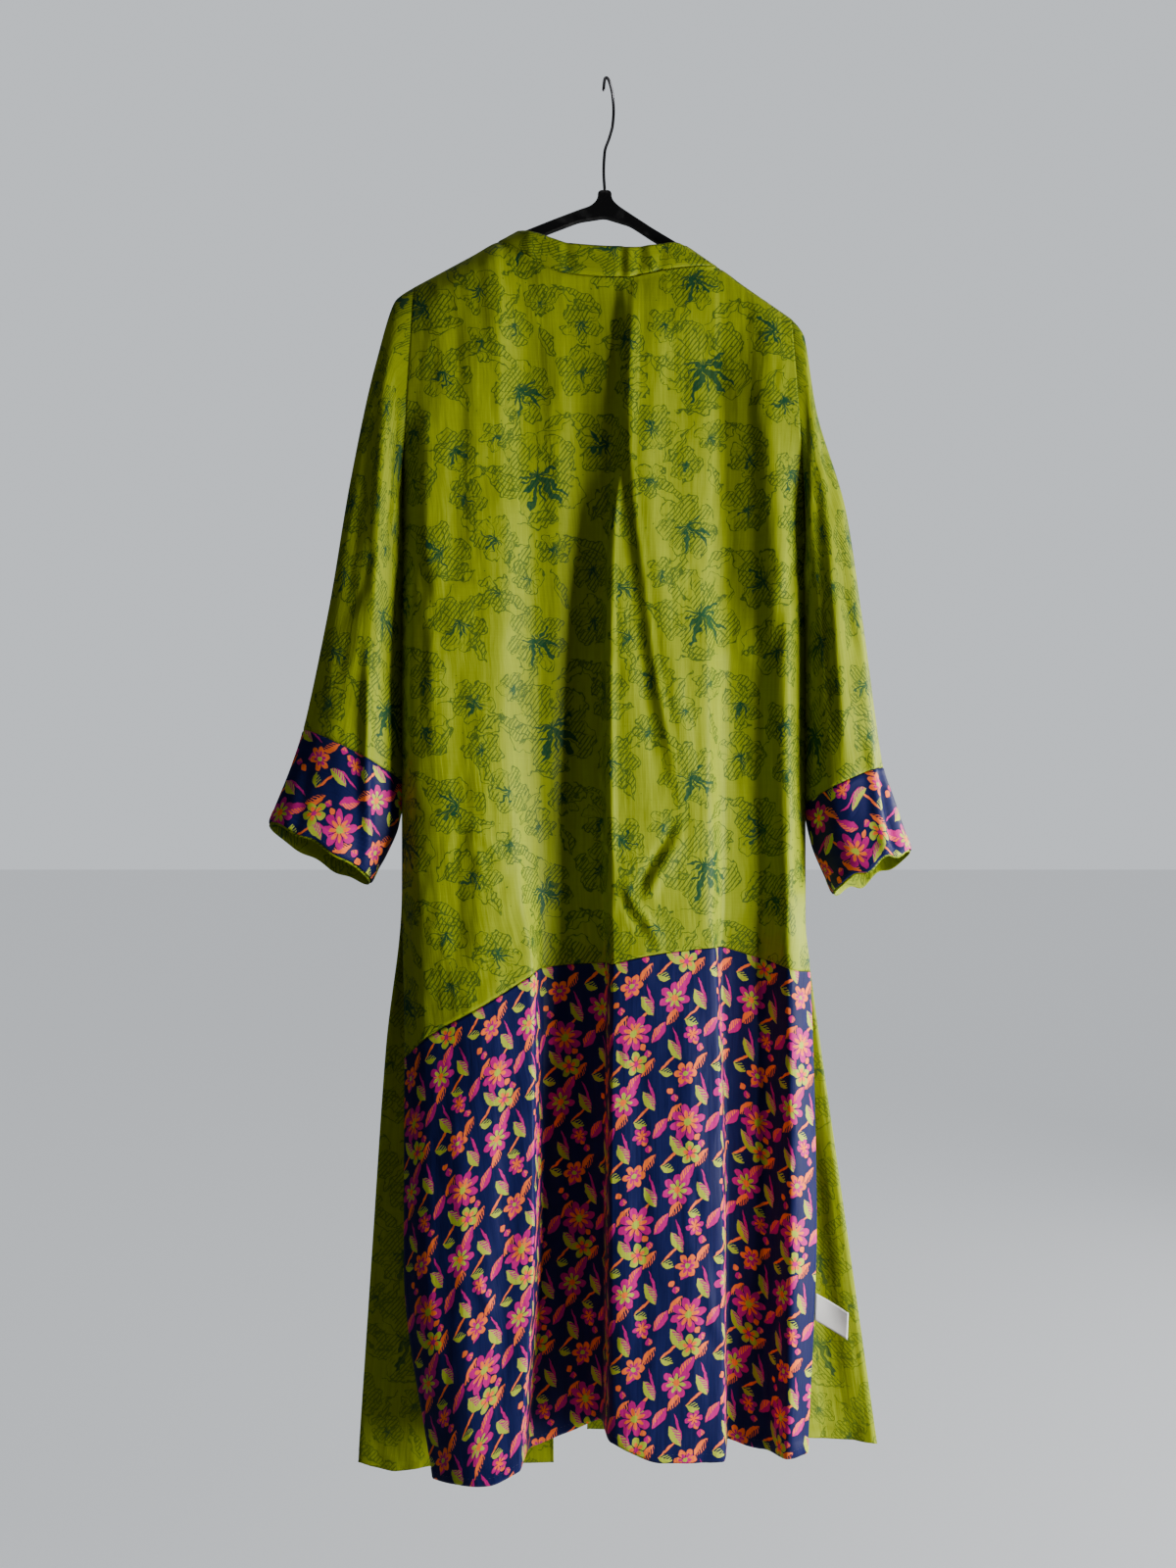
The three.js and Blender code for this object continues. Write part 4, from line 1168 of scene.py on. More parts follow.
def bold_print_group(polar, colours):
    """The whole bold print on its navy ground, as one colour."""
    group, w, taken, given = make_group("bold_print", "Cloth", "Color")
    nearest = nearest_repeat_group("navy_repeat", NAVY_REPEAT)
    between = nearest_repeat_group("leaf_repeat", LEAF_REPEAT)
    bloom = bold_bloom_group(polar)
    leaf = bold_leaf_group()
    shades = {name: opaque(getattr(colours, name)) for name in ("navy", "magenta", "orange", "lime")}
    pull = w.jitter(taken["Cloth"], 160.0, 1.0)
    across, down = w.split(w.vector("MULTIPLY_ADD", pull, (0.003, 0.003, 0.0), taken["Cloth"]))
    rows_first = w.join(down, across)
    result = shades["navy"]
    for motif in BOLD_LEAVES:
        near = w.use(between, Vector=rows_first, Centre=(motif.x, motif.y, 0.0))["Vector"]
        shape = w.use(leaf, Vector=near, Length=motif.length, Width=motif.width, Turn=motif.turn)
        result = w.blend(shape["Blade"], result, shades[motif.blade])
        result = w.blend(shape["Half"], result, shades[motif.half])
    for motif in BOLD_BLOOMS:
        near = w.use(nearest, Vector=rows_first, Centre=(motif.x, motif.y, 0.0))["Vector"]
        shape = w.use(bloom, Vector=near, Size=motif.size, Petals=motif.petals, Turn=motif.turn)
        result = w.blend(shape["Petal"], result, shades[motif.petal])
        result = w.blend(shape["Inner"], result, shades[motif.inner])
        result = w.blend(shape["Heart"], result, shades[motif.heart])
    w.put(given["Color"], result)
    return group


def silk_weave_group():
    """Silk's slubs and fine weave: a tone to multiply the colour by, a height and a roughness."""
    group, w, taken, given = make_group("silk_weave", "Cloth", "Tone Height Roughness")
    cloth = taken["Cloth"]
    slub = w.streaks(cloth, (430.0, 14.0, 1.0), 1.5)
    cross = w.streaks(cloth, (22.0, 540.0, 1.0), 1.0)
    cloudy = w.noise(cloth, 14.0, 1.0)
    fine = w.streaks(cloth, (2400.0, 1500.0, 1.0), 0.0)
    crinkle = w.streaks(cloth, (150.0, 26.0, 1.0), 2.0)
    tone = w.math("MULTIPLY_ADD", slub, 0.44, w.math("MULTIPLY_ADD", cross, 0.12, 0.57))
    tone = w.math("MULTIPLY_ADD", cloudy, 0.16, w.math("MULTIPLY_ADD", crinkle, 0.14, tone))
    threads = w.math("MULTIPLY_ADD", fine, 0.25, w.math("MULTIPLY_ADD", cross, 0.35, slub))
    w.put(given["Tone"], tone)
    w.put(given["Height"], w.math("MULTIPLY_ADD", crinkle, 3.2, threads))
    w.put(given["Roughness"], w.math("MULTIPLY_ADD", slub, 0.18, 0.46))
    return group


def edge_wear_group():
    """Light scuffs and dust on hard parts: a mask that gathers in large soft patches."""
    group, w, taken, given = make_group("edge_wear", "Place", "Mask Fine")
    w.put(given["Mask"], w.below(0.62, w.noise(taken["Place"], 38.0, 4.0), 0.08))
    w.put(given["Fine"], w.noise(taken["Place"], 900.0, 3.0))
    return group


def new_material(name):
    """A material, its wiring and its one shader."""
    material = bpy.data.materials.new(name)
    material.use_nodes = True
    return material, Wiring(material.node_tree), material.node_tree.nodes["Principled BSDF"]


def shared_groups(colours):
    """The node groups that the materials share, built once."""
    groups = bpy.data.node_groups
    if "sketch_print" not in groups:
        polar = petal_polar_group()
        sketch_print_group(polar)
        bold_print_group(polar, colours)
        silk_weave_group()
        edge_wear_group()
    return {name: groups[name] for name in ("sketch_print", "bold_print", "silk_weave", "edge_wear")}


def silk_material(name, printed, colours, strength=1.0):
    """Silk with one of the two prints. strength under 1 is the paler reverse of the cloth."""
    if name in bpy.data.materials:
        return bpy.data.materials[name]
    groups = shared_groups(colours)
    material, w, shader = new_material(name)
    cloth = w.flat_cut()
    weave = w.use(groups["silk_weave"], Cloth=cloth)
    if printed == "sketch":
        ink = w.use(groups["sketch_print"], Cloth=cloth)
        line = w.math("MULTIPLY", ink["Ink"], LINE_STRENGTH * strength)
        result = w.blend(line, opaque(colours.green), opaque(colours.ink))
        heart = w.math("MULTIPLY", ink["Heart"], HEART_STRENGTH * strength)
        result = w.blend(heart, result, opaque(colours.heart_ink))
    else:
        result = w.use(groups["bold_print"], Cloth=cloth)["Color"]
    tone = w.join(weave["Tone"], weave["Tone"], weave["Tone"])
    w.fill(
        shader, Base_Color=w.blend(1.0, result, tone, "MULTIPLY"), Roughness=weave["Roughness"],
        Specular_IOR_Level=0.12, Sheen_Weight=0.03, Sheen_Roughness=0.45,
        Normal=w.bump(weave["Height"], 0.45, 0.0004),
    )
    return material


def silks(colours, printed):
    """The face and the reverse of one of the silks."""
    return (
        silk_material(printed + "_silk_face", printed, colours),
        silk_material(printed + "_silk_reverse", printed, colours, REVERSE_SHARE),
    )


def thread_material(name, shade):
    """Twisted sewing thread."""
    if name in bpy.data.materials:
        return bpy.data.materials[name]
    material, w, shader = new_material(name)
    twist = w.noise(w.add("TexCoord").outputs["Object"], 3200.0, 1.0)
    w.fill(
        shader, Base_Color=w.blend(twist, opaque(shade), opaque(shade, 0.6)), Roughness=0.5,
        Normal=w.bump(twist, 0.3, 0.0001),
    )
    return material


def label_material(colours):
    """Bare white satin ribbon."""
    material, w, shader = new_material("label_satin")
    weave = w.streaks(w.flat_cut(), (1800.0, 500.0, 1.0), 2.0)
    w.fill(
        shader, Base_Color=w.blend(weave, opaque(colours.label), opaque(colours.label, 0.82)),
        Roughness=0.36, Normal=w.bump(weave, 0.3, 0.0002),
    )
    return material


def plastic_material(colours):
    """Black moulded plastic with faint scuffs and dust."""
    material, w, shader = new_material("hanger_plastic")
    wear = w.use(shared_groups(colours)["edge_wear"], Place=w.add("TexCoord").outputs["Object"])
    scuff = w.math("MULTIPLY", wear["Mask"], 0.25)
    w.fill(
        shader, Base_Color=w.blend(scuff, opaque(colours.plastic), (0.06, 0.06, 0.062, 1.0)),
        Roughness=w.math("MULTIPLY_ADD", wear["Mask"], 0.2, 0.32), Normal=w.bump(wear["Fine"], 0.25, 0.0002),
    )
    return material


def steel_material(colours):
    """Drawn steel wire, a little dull."""
    material, w, shader = new_material("hook_steel")
    place = w.add("TexCoord").outputs["Object"]
    wear = w.use(shared_groups(colours)["edge_wear"], Place=place)
    dull = w.math("MULTIPLY", wear["Mask"], 0.5)
    drawn = w.streaks(place, (2600.0, 2600.0, 160.0), 1.0)
    w.fill(
        shader, Base_Color=w.blend(dull, opaque(colours.steel), (0.03, 0.027, 0.025, 1.0)),
        Roughness=w.math("MULTIPLY_ADD", wear["Fine"], 0.2, 0.25), Metallic=1.0,
        Normal=w.bump(drawn, 0.2, 0.0001),
    )
    return material


def settings():
    """Sizes, colours and stage settings of the scene."""
    scene = bpy.context.scene
    return scene.kimono_sizes, scene.kimono_colours, scene.kimono_stage


def edge_fade(u, first, last):
    """0 on a panel's side edges and 1 further in."""
    return eased((u - first) / EDGE_FADE) * eased((last - u) / EDGE_FADE)


def edge_height(profile, distance):
    """Height of a seam or hem at a distance in from its edge."""
    return along_rows([Width(-d, 0, h, 0) for d, h in profile], "y", -distance)


def panel_grid(panel, across, down, creases_on, sizes, turn, seeds, rise, join_edge=0):
    """Points of a body panel with its creases, ripples, seams and hem, and their normals.

    turn is the side that the normals face, seeds are those of the ripples and of the hem, and
    join_edge is -1 on the piece that ends at the join, 1 on the one that starts there, and 0 on
    a whole panel."""
    columns = [panel.column(u) for u in across]
    plain = [[panel.on_column(column, v) for column in columns] for v in down]
    normals = grid_normals(plain, turn)
    join = LEVEL["join"]
    hem_unit = level_length(panel, HEM - 1)
    join_unit = hem_unit if join_edge > 0 else level_length(panel, join - 1)
    points = []
    for v, row, facing in zip(down, plain, normals):
        above_hem = (HEM - v) * hem_unit
        from_join = (v - join) * join_edge * join_unit
        line = []
        for u, point, normal in zip(across, row, facing):
            height = crease_height(creases_on, point.x, point.z) + ripple_height(sizes, point, seeds[0])
            height *= edge_fade(u, across[0], across[-1]) * eased((v - rise[0]) / rise[1])
            if above_hem < HEM_REACH:
                height += edge_height(HEM_TURN, above_hem) + hem_wave(point, above_hem, seeds[1])
            if join_edge and from_join < SEAM_REACH:
                height += edge_height(SEAM_ROLL, from_join)
            line.append(point + normal * height)
        points.append(line)
    return points, normals


def stage_floor(colours, stage):
    """Plain pale floor under the robe."""
    bm = bmesh.new()
    place = Matrix.Translation((0, 0, FLOOR_Z))
    bmesh.ops.create_grid(bm, x_segments=2, y_segments=2, size=FLOOR_REACH, matrix=place)
    mesh = bpy.data.meshes.new("floor")
    bm.to_mesh(mesh)
    bm.free()
    material, w, shader = new_material("floor_paint")
    seen = w.add("LightPath").outputs["Is Camera Ray"]
    w.fill(
        shader, Base_Color=opaque(colours.floor), Emission_Color=opaque(colours.world),
        Emission_Strength=w.math("MULTIPLY", seen, stage.floor_glow), Roughness=0.75,
    )
    mesh.materials.append(material)
    add_object("floor", mesh)


def add_lamp(lamp, stage):
    """A soft square lamp of the studio."""
    light = bpy.data.lights.new(lamp.name, "AREA")
    light.shape = "SQUARE"
    light.size = lamp.size
    light.energy = getattr(stage, lamp.setting) * lamp.share
    light.color = lamp.tint
    light.spread = lamp.spread
    thing = add_object(lamp.name, light)
    thing.location = lamp.at
    thing.rotation_euler = (Vector(lamp.aim) - Vector(lamp.at)).to_track_quat("-Z", "Y").to_euler()


class KIMONO_OT_stage(bpy.types.Operator):
    """Add the camera, the pale floor and world, and the soft studio light"""

    bl_idname = "kimono.stage"
    bl_label = "Stage"

    def execute(self, context):
        _, colours, stage = settings()
        scene = context.scene
        view = bpy.data.cameras.new("photo_camera")
        view.sensor_fit = "VERTICAL"
        view.sensor_height = SENSOR
        view.lens = SENSOR * FOCAL_PX / PHOTO_HEIGHT_PX
        scene.camera = add_object("photo_camera", view)
        scene.camera.location = CAMERA_AT
        scene.camera.rotation_euler = (math.pi / 2, 0, 0)
        stage_floor(colours, stage)
        for lamp in LAMPS:
            add_lamp(lamp, stage)
        sun = bpy.data.lights.new("overhead", "SUN")
        sun.energy = stage.overhead
        sun.angle = OVERHEAD_ANGLE
        add_object("overhead", sun)
        world = bpy.data.worlds.new("pale_world")
        world.use_nodes = True
        w = Wiring(world.node_tree)
        seen = w.add("LightPath").outputs["Is Camera Ray"]
        strength_seen = w.math("MULTIPLY_ADD", seen, stage.sky - stage.world, stage.world)
        background = world.node_tree.nodes["Background"]
        w.fill(background, Color=opaque(colours.world), Strength=strength_seen)
        scene.world = world
        return {"FINISHED"}


class KIMONO_OT_back(bpy.types.Operator):
    """Add the back: green above the wavy join, printed navy below it"""

    bl_idname = "kimono.back"
    bl_label = "Back"

    def execute(self, context):
        sizes, colours, _ = settings()
        across = across_places(BACK, BACK_LAST, sizes.cell_across)
        centre = across.index(BACK_CENTRE)
        shape = (BACK_CREASES, sizes, 1, (-1, -1), BACK_RISE)
        join = LEVEL["join"]
        down = down_places(BACK, 0, join, sizes.cell)
        down = with_edge(down, join, [step for step, _ in SEAM_ROLL], level_length(BACK, join - 1))
        points, _ = panel_grid(BACK, across, down, *shape, join_edge=-1)
        flat = flat_places(points, centre, nearest_row(down, "waist"))
        add_cloth(
            "back_upper", lay_cloth(points, flat, 1), sizes.cloth, silks(colours, "sketch"),
        )
        unit = level_length(BACK, HEM - 1)
        down = down_places(BACK, join, HEM, sizes.cell)
        down = with_edge(down, join, [step for step, _ in SEAM_ROLL if step >= 0], unit)
        down = with_edge(down, HEM, [step for step, _ in HEM_TURN], unit)
        points, normals = panel_grid(BACK, across, down, *shape, join_edge=1)
        flat = flat_places(points, centre, 0, keep_slope=True)
        thread = thread_material("navy_thread", colours.navy_thread)
        stitches = sew_hem("back_hem_stitches", points, normals, thread, sizes)
        add_cloth(
            "back_lower", lay_cloth(points, flat, 1), sizes.cloth,
            silks(colours, "bold"),
        )
        return {"FINISHED"}


class KIMONO_OT_fronts(bpy.types.Operator):
    """Add the two green fronts, which hang open and reach past the side slits"""

    bl_idname = "kimono.fronts"
    bl_label = "Fronts"

    def execute(self, context):
        sizes, colours, _ = settings()
        thread = thread_material("green_thread", colours.thread)
        for side, panel in FRONTS.items():
            turn = OUTWARD[side]
            across = across_places(panel, FRONT_LAST, sizes.cell_across)
            down = down_places(panel, 0, HEM, sizes.cell)
            down = with_edge(down, HEM, [step for step, _ in HEM_TURN], level_length(panel, HEM - 1))
            shape = (FRONT_CREASES, sizes, turn, (1, turn), FRONT_RISE)
            points, normals = panel_grid(panel, across, down, *shape)
            flat = flat_places(points, 0, nearest_row(down, "waist"))
            stitches = sew_hem(f"front_{side}_hem_stitches", points, normals, thread, sizes)
            add_cloth(
                f"front_{side}", lay_cloth(points, flat, turn), sizes.cloth,
                silks(colours, "sketch"),
            )
        return {"FINISHED"}


def band_width(at):
    """Vector from the neckband's seam to its free edge."""
    return Vector([along_rows(BAND_WIDTHS, axis, at) for axis in "xyz"])


def band_seam(at):
    """Point of the neckband's seam at a place along it."""
    if at < 1:
        return FRONTS["left"].point(FRONT_LAST, (1 - at) * HEM)
    if at > 2:
        return FRONTS["right"].point(FRONT_LAST, (at - 2) * HEM)
    return BACK.point(mix(NECK_FROM, NECK_TO, at - 1), 0)


class KIMONO_OT_neckband(bpy.types.Operator):
    """Add the one band that runs up a front, round the neck and down the other front"""

    bl_idname = "kimono.neckband"
    bl_label = "Neckband"

    def execute(self, context):
        sizes, colours, _ = settings()
        places = [part + k / count for part, count in enumerate(BAND_CELLS) for k in range(count)] + [3.0]
        shares = [share for share, _ in BAND_PROFILE]
        plain = []
        for at in places:
            seam = band_seam(at)
            width = band_width(at)
            plain.append([seam + width * share for share in shares])
        normals = grid_normals(plain, 1)
        points = []
        for at, row, facing in zip(places, plain, normals):
            line = []
            for (share, height), point, normal in zip(BAND_PROFILE, row, facing):
                middle = eased(share / 0.3) * eased((1 - share) / 0.2)
                height += middle * BAND_RIPPLE * ripple_height(sizes, point.zxy, 5)
                if 1 < at < 2:
                    height += crease_height(BAND_TUCKS, point.x, point.z)
                line.append(point + normal * height)
            points.append(line)
        # The band's flat cut runs across the cloth's repeat, so its UVs are turned
        along_seam = flat_places([list(column) for column in zip(*points)], 0, 0, keep_slope=True)[0]
        turned = [[(share * CUTS["neckband"].width, run) for share in shares] for run, _ in along_seam]
        bm = lay_cloth(points, turned, 1)
        thread = thread_material("green_thread", colours.thread)
        route = [row[BAND_STITCH] for row in points]
        facing = [row[BAND_STITCH] for row in normals]
        stitches = sew("neckband_stitches", route, facing, thread, sizes)
        add_cloth(
            "neckband", bm, sizes.cloth, silks(colours, "sketch"),
        )
        return {"FINISHED"}


def evenly(first, last, count):
    """Places from first to last, both included, with a number of steps between them."""
    return [mix(first, last, k / count) for k in range(count + 1)]


# Places of the rings along each sleeve, its cuff and the facing inside the cuff
SLEEVE_PLACES = (-0.001, 0.0, 0.004, 0.012, *evenly(0.02, 1.0, 88), 1.003, 1.02)
CUFF_PLACES = (1.0, 1.016, *evenly(1.05, 1.90, 20), 1.92, 1.94, 1.96, 1.985, 2.0)
FACING_PLACES = (*evenly(FACING_FROM, 1.98, 16), 2.0, 2.024)


def sleeve_ring(side, at, shares):
    """Points round a sleeve at a place along it. shares pairs the place round it with its face."""
    rows = SLEEVES[side]
    if at > 2:
        last = sleeve_ring(side, 2, shares)
        before = sleeve_ring(side, 1.95, shares)
        return [a + (a - b) * (at - 2) / 0.05 for a, b in zip(last, before)]
    out_x, out_z, in_x, in_z, depth, tilt, tuck = [along_rows(rows, name, at) for name in Ring._fields[1:]]
    outer = Vector((out_x, 0, out_z))
    inner = Vector((in_x, 0, in_z))
    high, waves, start = CUFF_WAVE[side]
    high *= eased((at - 1.4) / 0.6)
    ring = []
    for share, face in shares:
        bulge = max(1 - (1 - 2 * share) ** 2, 0)
        pointed = eased((share - 0.65) / 0.35) * tuck / SLEEVE_TUCK
        rounded = mix(math.sqrt(bulge) ** SLEEVE_SQUARENESS, bulge, pointed)
        wave = high * math.sin(math.tau * waves * share + start + 0.8 * face) * bulge
        behind = Vector((0, tuck * eased((share - 0.7) / 0.3), wave))
        ring.append(outer.lerp(inner, share) + Vector((0, depth, -tilt)) * face * rounded + behind)
    return ring


def armhole_ring(side, count):
    """Points round an armhole on the panels' own edges, evenly spaced down the back edge and up
    the front one, and how far down the hole each lies with the face it is on."""
    hole = ARMHOLE[side]
    back_u = 0 if side == "left" else BACK_LAST
    fine = [LEVEL["underarm"] * k / 400 for k in range(401)]
    points = []
    shares = []
    for face, panel, u in ((-1, BACK, back_u), (1, FRONTS[side], 0)):
        column = panel.column(u)
        edge = [panel.on_column(column, v) for v in fine]
        run = [0.0]
        for a, b in zip(edge, edge[1:]):
            run.append(run[-1] + (b - a).length)
        half = []
        k = 0
        for step in range(count // 2 + 1):
            due = run[-1] * eased_ends(2 * step / count)
            while k < len(run) - 2 and run[k + 1] < due:
                k += 1
            half.append(edge[k].lerp(edge[k + 1], min((due - run[k]) / (run[k + 1] - run[k]), 1.0)))
        if face > 0:
            half = half[:-1][::-1]
        points += half
        height = hole.top_z - hole.low_z
        shares += [(clamp((hole.top_z - point.z) / height), face) for point in half]
    return points, shares


def sleeve_piece(side, places, sizes, inset=0.0, at_armhole=False, sewn_first=False, hemmed=False):
    """Rings of a sleeve piece with creases and edges, their normals and their flat cut."""
    outward = OUTWARD[side]
    hole, shares = armhole_ring(side, RING_CELLS)
    plain = []
    for at in places:
        ring = sleeve_ring(side, max(at, 0), shares)
        if at_armhole and at < ARMHOLE_BLEND:
            ring = [a.lerp(b, eased(at / ARMHOLE_BLEND)) for a, b in zip(hole, ring)]
        if at_armhole and at < 0:
            ring = [point - Vector((outward * SEAM_ALLOWANCE, 0, 0)) for point in ring]
        plain.append(ring)
    normals = grid_normals(plain, -outward, ring=True)
    middle = len(plain[0]) // 4
    lengths = [0.0]
    for above, ring in zip(plain, plain[1:]):
        lengths.append(lengths[-1] + (ring[middle] - above[middle]).length)
    points = []
    for i, from_first in enumerate(lengths):
        from_last = lengths[-1] - from_first
        line = []
        for (share, face), point, normal in zip(shares, plain[i], normals[i]):
            out, up = (0, 0) if face < 0 else FAR_CREASES
            height = crease_height(SLEEVE_CREASES[side], point.x + outward * out, point.z + up)
            height += ripple_height(sizes, point, face + 20 * outward)
            height *= min(1.0, SLEEVE_FADE * share * (1 - share))
            if at_armhole:
                height *= eased(from_first / ARMHOLE_RISE)
            if at_armhole and i < len(ARMHOLE_TUCK):
                height += ARMHOLE_TUCK[i]
            if sewn_first and from_first < SEAM_REACH:
                height += edge_height(SEAM_ROLL, from_first)
            if hemmed and from_last < HEM_REACH:
                height += edge_height(HEM_TURN, from_last) + CUFF_PUCKER * hem_wave(point, from_last, face)
            line.append(point + normal * (height - inset))
        points.append(line)
    return points, normals, flat_places(points, middle, len(points) - 1, keep_slope=True)


class KIMONO_OT_sleeves(bpy.types.Operator):
    """Add each sleeve with its navy cuff and the green facing inside the cuff"""

    bl_idname = "kimono.sleeves"
    bl_label = "Sleeves"

    def execute(self, context):
        sizes, colours, _ = settings()
        green = silks(colours, "sketch")
        navy = silks(colours, "bold")
        thread = thread_material("navy_thread", colours.navy_thread)
        for side, outward in OUTWARD.items():
            points, _, flat = sleeve_piece(side, SLEEVE_PLACES, sizes, at_armhole=True)
            for back, depth in enumerate(SLEEVE_DRAW, 1):
                ring = points[-back]
                middle = sum(ring[:-1], Vector()) / (len(ring) - 1)
                points[-back] = [point + (middle - point).normalized() * depth for point in ring]
            add_cloth(
                f"sleeve_{side}", lay_cloth(points, flat, -outward, ring=True), sizes.cloth,
                green,
            )
            points, normals, flat = sleeve_piece(side, CUFF_PLACES, sizes, sewn_first=True, hemmed=True)
            turned = [[(v, u) for u, v in row] for row in flat]
            stitches = sew_hem(f"cuff_{side}_stitches", points, normals, thread, sizes)
            add_cloth(
                f"cuff_{side}", lay_cloth(points, turned, -outward, ring=True),
                sizes.cloth, navy,
            )
            points, _, flat = sleeve_piece(side, FACING_PLACES, sizes, inset=sizes.cloth + FACING_GAP)
            add_cloth(
                f"cuff_facing_{side}", lay_cloth(points, flat, -outward, ring=True),
                sizes.facing, green,
            )
        return {"FINISHED"}


class KIMONO_OT_label(bpy.types.Operator):
    """Add the bare care label at the back's right edge"""

    bl_idname = "kimono.label"
    bl_label = "Care label"

    def execute(self, context):
        sizes, colours, _ = settings()
        points = []
        for i in range(LABEL_ROWS + 1):
            edge = BACK.point(BACK_LAST, mix(LABEL_FROM, LABEL_TO, i / LABEL_ROWS))
            line = []
            for share in evenly(0.0, 1.0, LABEL_COLUMNS):
                lift = LABEL_LIFT * math.sin(math.pi * share) * math.cos(2.2 * i / LABEL_ROWS)
                curl = LABEL_CURL * share * share + lift
                line.append(edge + Vector((0.0003 + LABEL_REACH * share, curl, -LABEL_FALL * share)))
            points.append(line)
        flat = flat_places(points, 0, 0, keep_slope=True)
        material = label_material(colours)
        thread = thread_material("label_thread", colours.label)
        route = [line[1] for line in points]
        facing = [line[1] for line in grid_normals(points, 1)]
        stitches = sew("label_stitches", route, facing, thread, sizes)
        add_cloth(
            "care_label", lay_cloth(points, flat, 1), LABEL_THICKNESS, (material, material),
        )
        return {"FINISHED"}


def round_off(bm, geom, kind, radius, steps):
    """Rounds the corners or edges of a solid."""
    bmesh.ops.bevel(
        bm, geom=geom, offset=radius, affect=kind, segments=steps, profile=0.5, material=-1,
        clamp_overlap=True,
    )


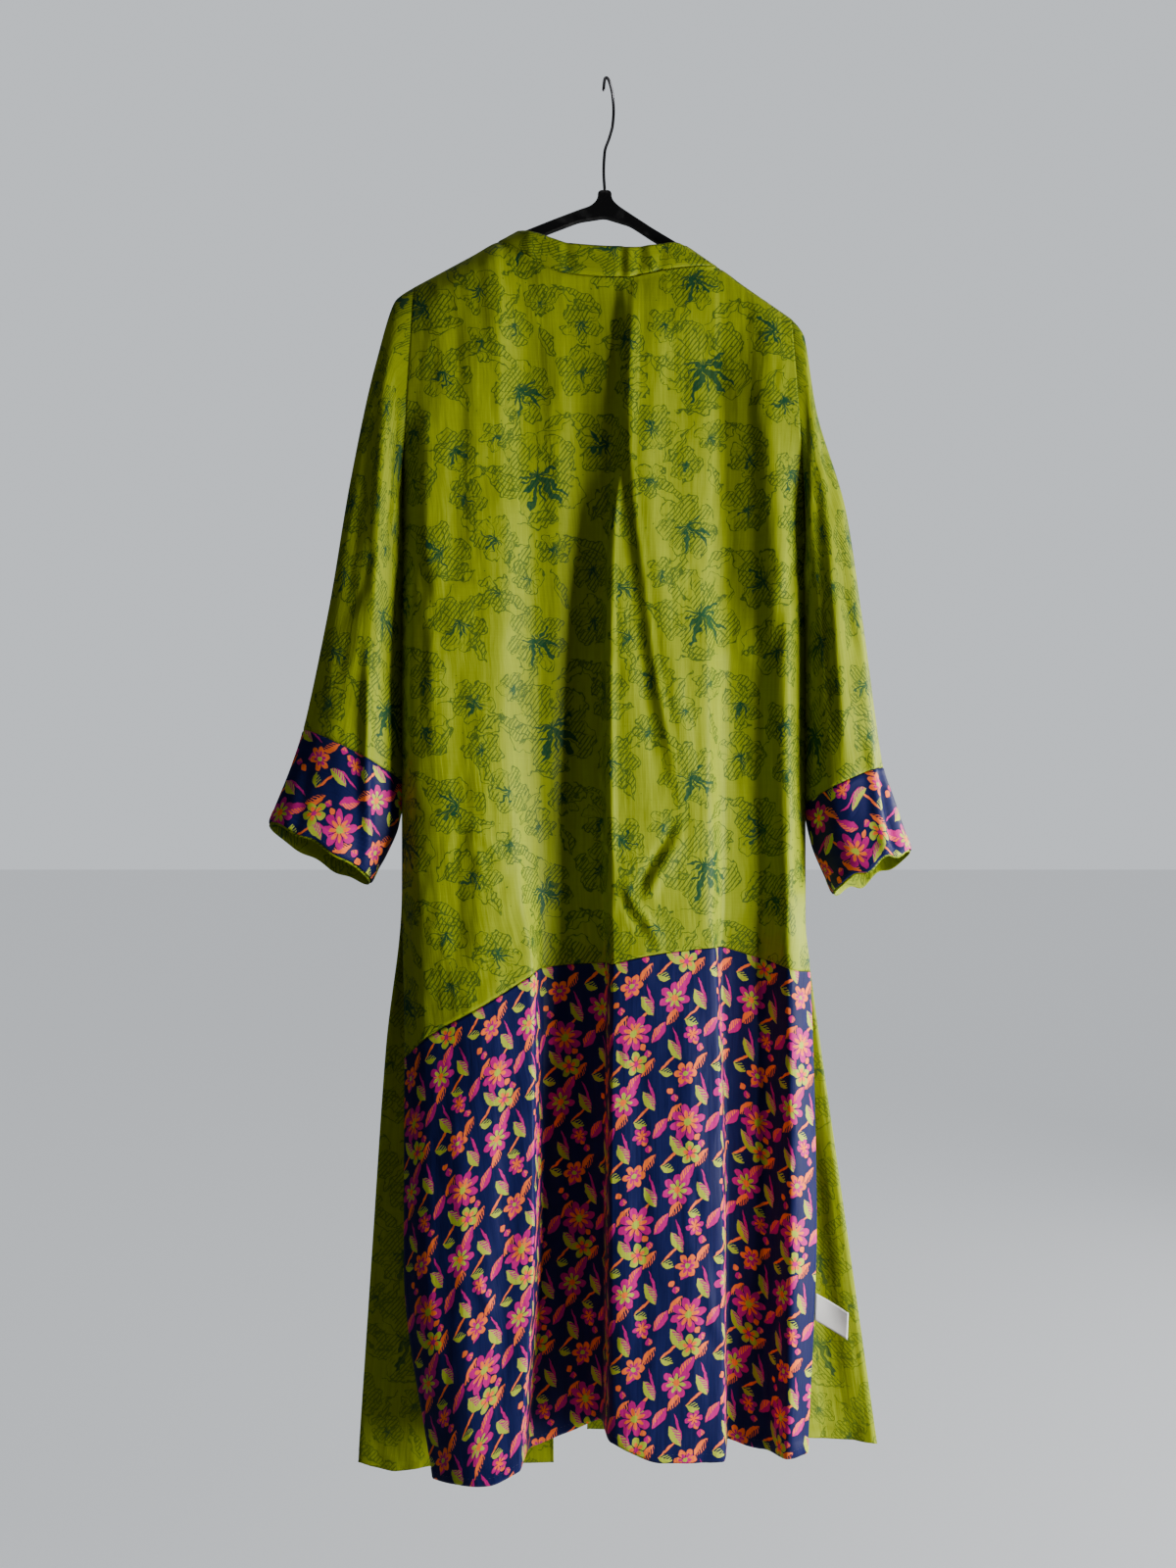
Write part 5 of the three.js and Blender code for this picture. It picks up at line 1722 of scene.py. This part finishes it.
class KIMONO_OT_hanger(bpy.types.Operator):
    """Add the black hanger, its arms inside the shoulders, and its wire hook"""

    bl_idname = "kimono.hanger"
    bl_label = "Hanger"

    def execute(self, context):
        _, colours, _ = settings()
        self.add_body(colours)
        self.add_hook(colours)
        return {"FINISHED"}

    def add_body(self, colours):
        def on_arm(x):
            return (x, ridge_height(x) - ARM_DROP)

        left = [on_arm(ARM_TIPS[0]), on_arm(ARM_NECKS[0]), *CROWN_LEFT]
        right = [*CROWN_RIGHT, on_arm(ARM_NECKS[1]), on_arm(ARM_TIPS[1])]
        boss = [
            (BOSS_X - 2 * BOSS_HALF, BOSS_FOOT),
            (BOSS_X - BOSS_HALF, BOSS_FOOT + BOSS_HALF),
            (BOSS_X - BOSS_HALF, BOSS_TOP),
            (BOSS_X + BOSS_HALF, BOSS_TOP),
            (BOSS_X + BOSS_HALF, BOSS_FOOT + BOSS_HALF),
            (BOSS_X + 2 * BOSS_HALF, BOSS_FOOT),
        ]
        underside = [(x, z - ARM_HEIGHT) for x, z in [*left, (BOSS_X, BOSS_FOOT), *right]]
        outline = [*left, *boss, *right, *reversed(underside)]
        bm = bmesh.new()
        bm.faces.new([bm.verts.new((x, -HANGER_THICKNESS / 2, z)) for x, z in outline])
        round_off(bm, list(bm.verts), "VERTICES", HANGER_CORNER, 5)
        grown = bmesh.ops.extrude_face_region(bm, geom=list(bm.faces))
        moved = [item for item in grown["geom"] if isinstance(item, bmesh.types.BMVert)]
        bmesh.ops.translate(bm, verts=moved, vec=(0, HANGER_THICKNESS, 0))
        bmesh.ops.recalc_face_normals(bm, faces=bm.faces)
        rims = [edge for edge in bm.edges if abs(edge.verts[0].co.y - edge.verts[1].co.y) < 1e-6]
        round_off(bm, rims, "EDGES", HANGER_EDGE, 4)
        for face in bm.faces:
            face.smooth = abs(face.normal.y) < 0.98
        body = add_mesh("hanger_moulding", bm, plastic_material(colours))
        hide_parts("hanger_body")

    def add_hook(self, colours):
        steps = HOOK_STEPS
        sides = HOOK_SIDES
        bends = list(zip(*HOOK_BENDS))
        places = evenly(0, len(HOOK_BENDS) - 1, steps)
        route = [Vector([along(values, place) for values in bends]) for place in places]
        bm = bmesh.new()
        rings = []
        side = Vector((1, 0, 0))
        for k, centre in enumerate(route):
            forward = (route[min(k + 1, steps)] - route[max(k - 1, 0)]).normalized()
            side = (side - forward * side.dot(forward)).normalized()
            turned = Matrix((side, forward.cross(side), forward)).transposed().to_4x4()
            tip = math.sqrt(max(1 - max(k - steps + 1.2, 0) ** 2 * 0.6, 0.1))
            made = bmesh.ops.create_circle(
                bm, cap_ends=k in (0, steps), segments=sides, radius=WIRE_RADIUS * tip,
                matrix=Matrix.Translation(centre) @ turned,
            )
            rings.append(made["verts"])
        for ring, following in zip(rings, rings[1:]):
            for j in range(sides):
                k = (j + 1) % sides
                bm.faces.new((ring[j], ring[k], following[k], following[j]))
        bmesh.ops.recalc_face_normals(bm, faces=bm.faces)
        for face in bm.faces:
            face.smooth = True
        hook = add_mesh("hook_wire", bm, steel_material(colours))
        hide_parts("hanger_hook")


PIECES = (
    KIMONO_OT_stage,
    KIMONO_OT_back,
    KIMONO_OT_fronts,
    KIMONO_OT_neckband,
    KIMONO_OT_sleeves,
    KIMONO_OT_label,
    KIMONO_OT_hanger,
)


class KIMONO_PT_robe(bpy.types.Panel):
    """Lists the robe's settings and the operators that build it"""

    bl_idname = "KIMONO_PT_robe"
    bl_label = "Kimono Robe"
    bl_space_type = "VIEW_3D"
    bl_region_type = "UI"
    bl_category = "Kimono"

    def draw(self, context):
        for group in settings():
            box = self.layout.box()
            for name in group.bl_rna.properties.keys():
                if name not in ("rna_type", "name"):
                    box.prop(group, name)
        for operator in PIECES:
            self.layout.operator(operator.bl_idname)


CLASSES = (KimonoSizes, KimonoColours, KimonoStage, *PIECES, KIMONO_PT_robe)


def register():
    for cls in CLASSES:
        bpy.utils.register_class(cls)
    bpy.types.Scene.kimono_sizes = PointerProperty(type=KimonoSizes)
    bpy.types.Scene.kimono_colours = PointerProperty(type=KimonoColours)
    bpy.types.Scene.kimono_stage = PointerProperty(type=KimonoStage)


def unregister():
    del bpy.types.Scene.kimono_stage
    del bpy.types.Scene.kimono_colours
    del bpy.types.Scene.kimono_sizes
    for cls in reversed(CLASSES):
        bpy.utils.unregister_class(cls)


def main():
    register()
    bpy.ops.kimono.stage()
    bpy.ops.kimono.back()
    bpy.ops.kimono.fronts()
    bpy.ops.kimono.neckband()
    bpy.ops.kimono.sleeves()
    bpy.ops.kimono.label()
    bpy.ops.kimono.hanger()


if __name__ == "__main__":
    main()
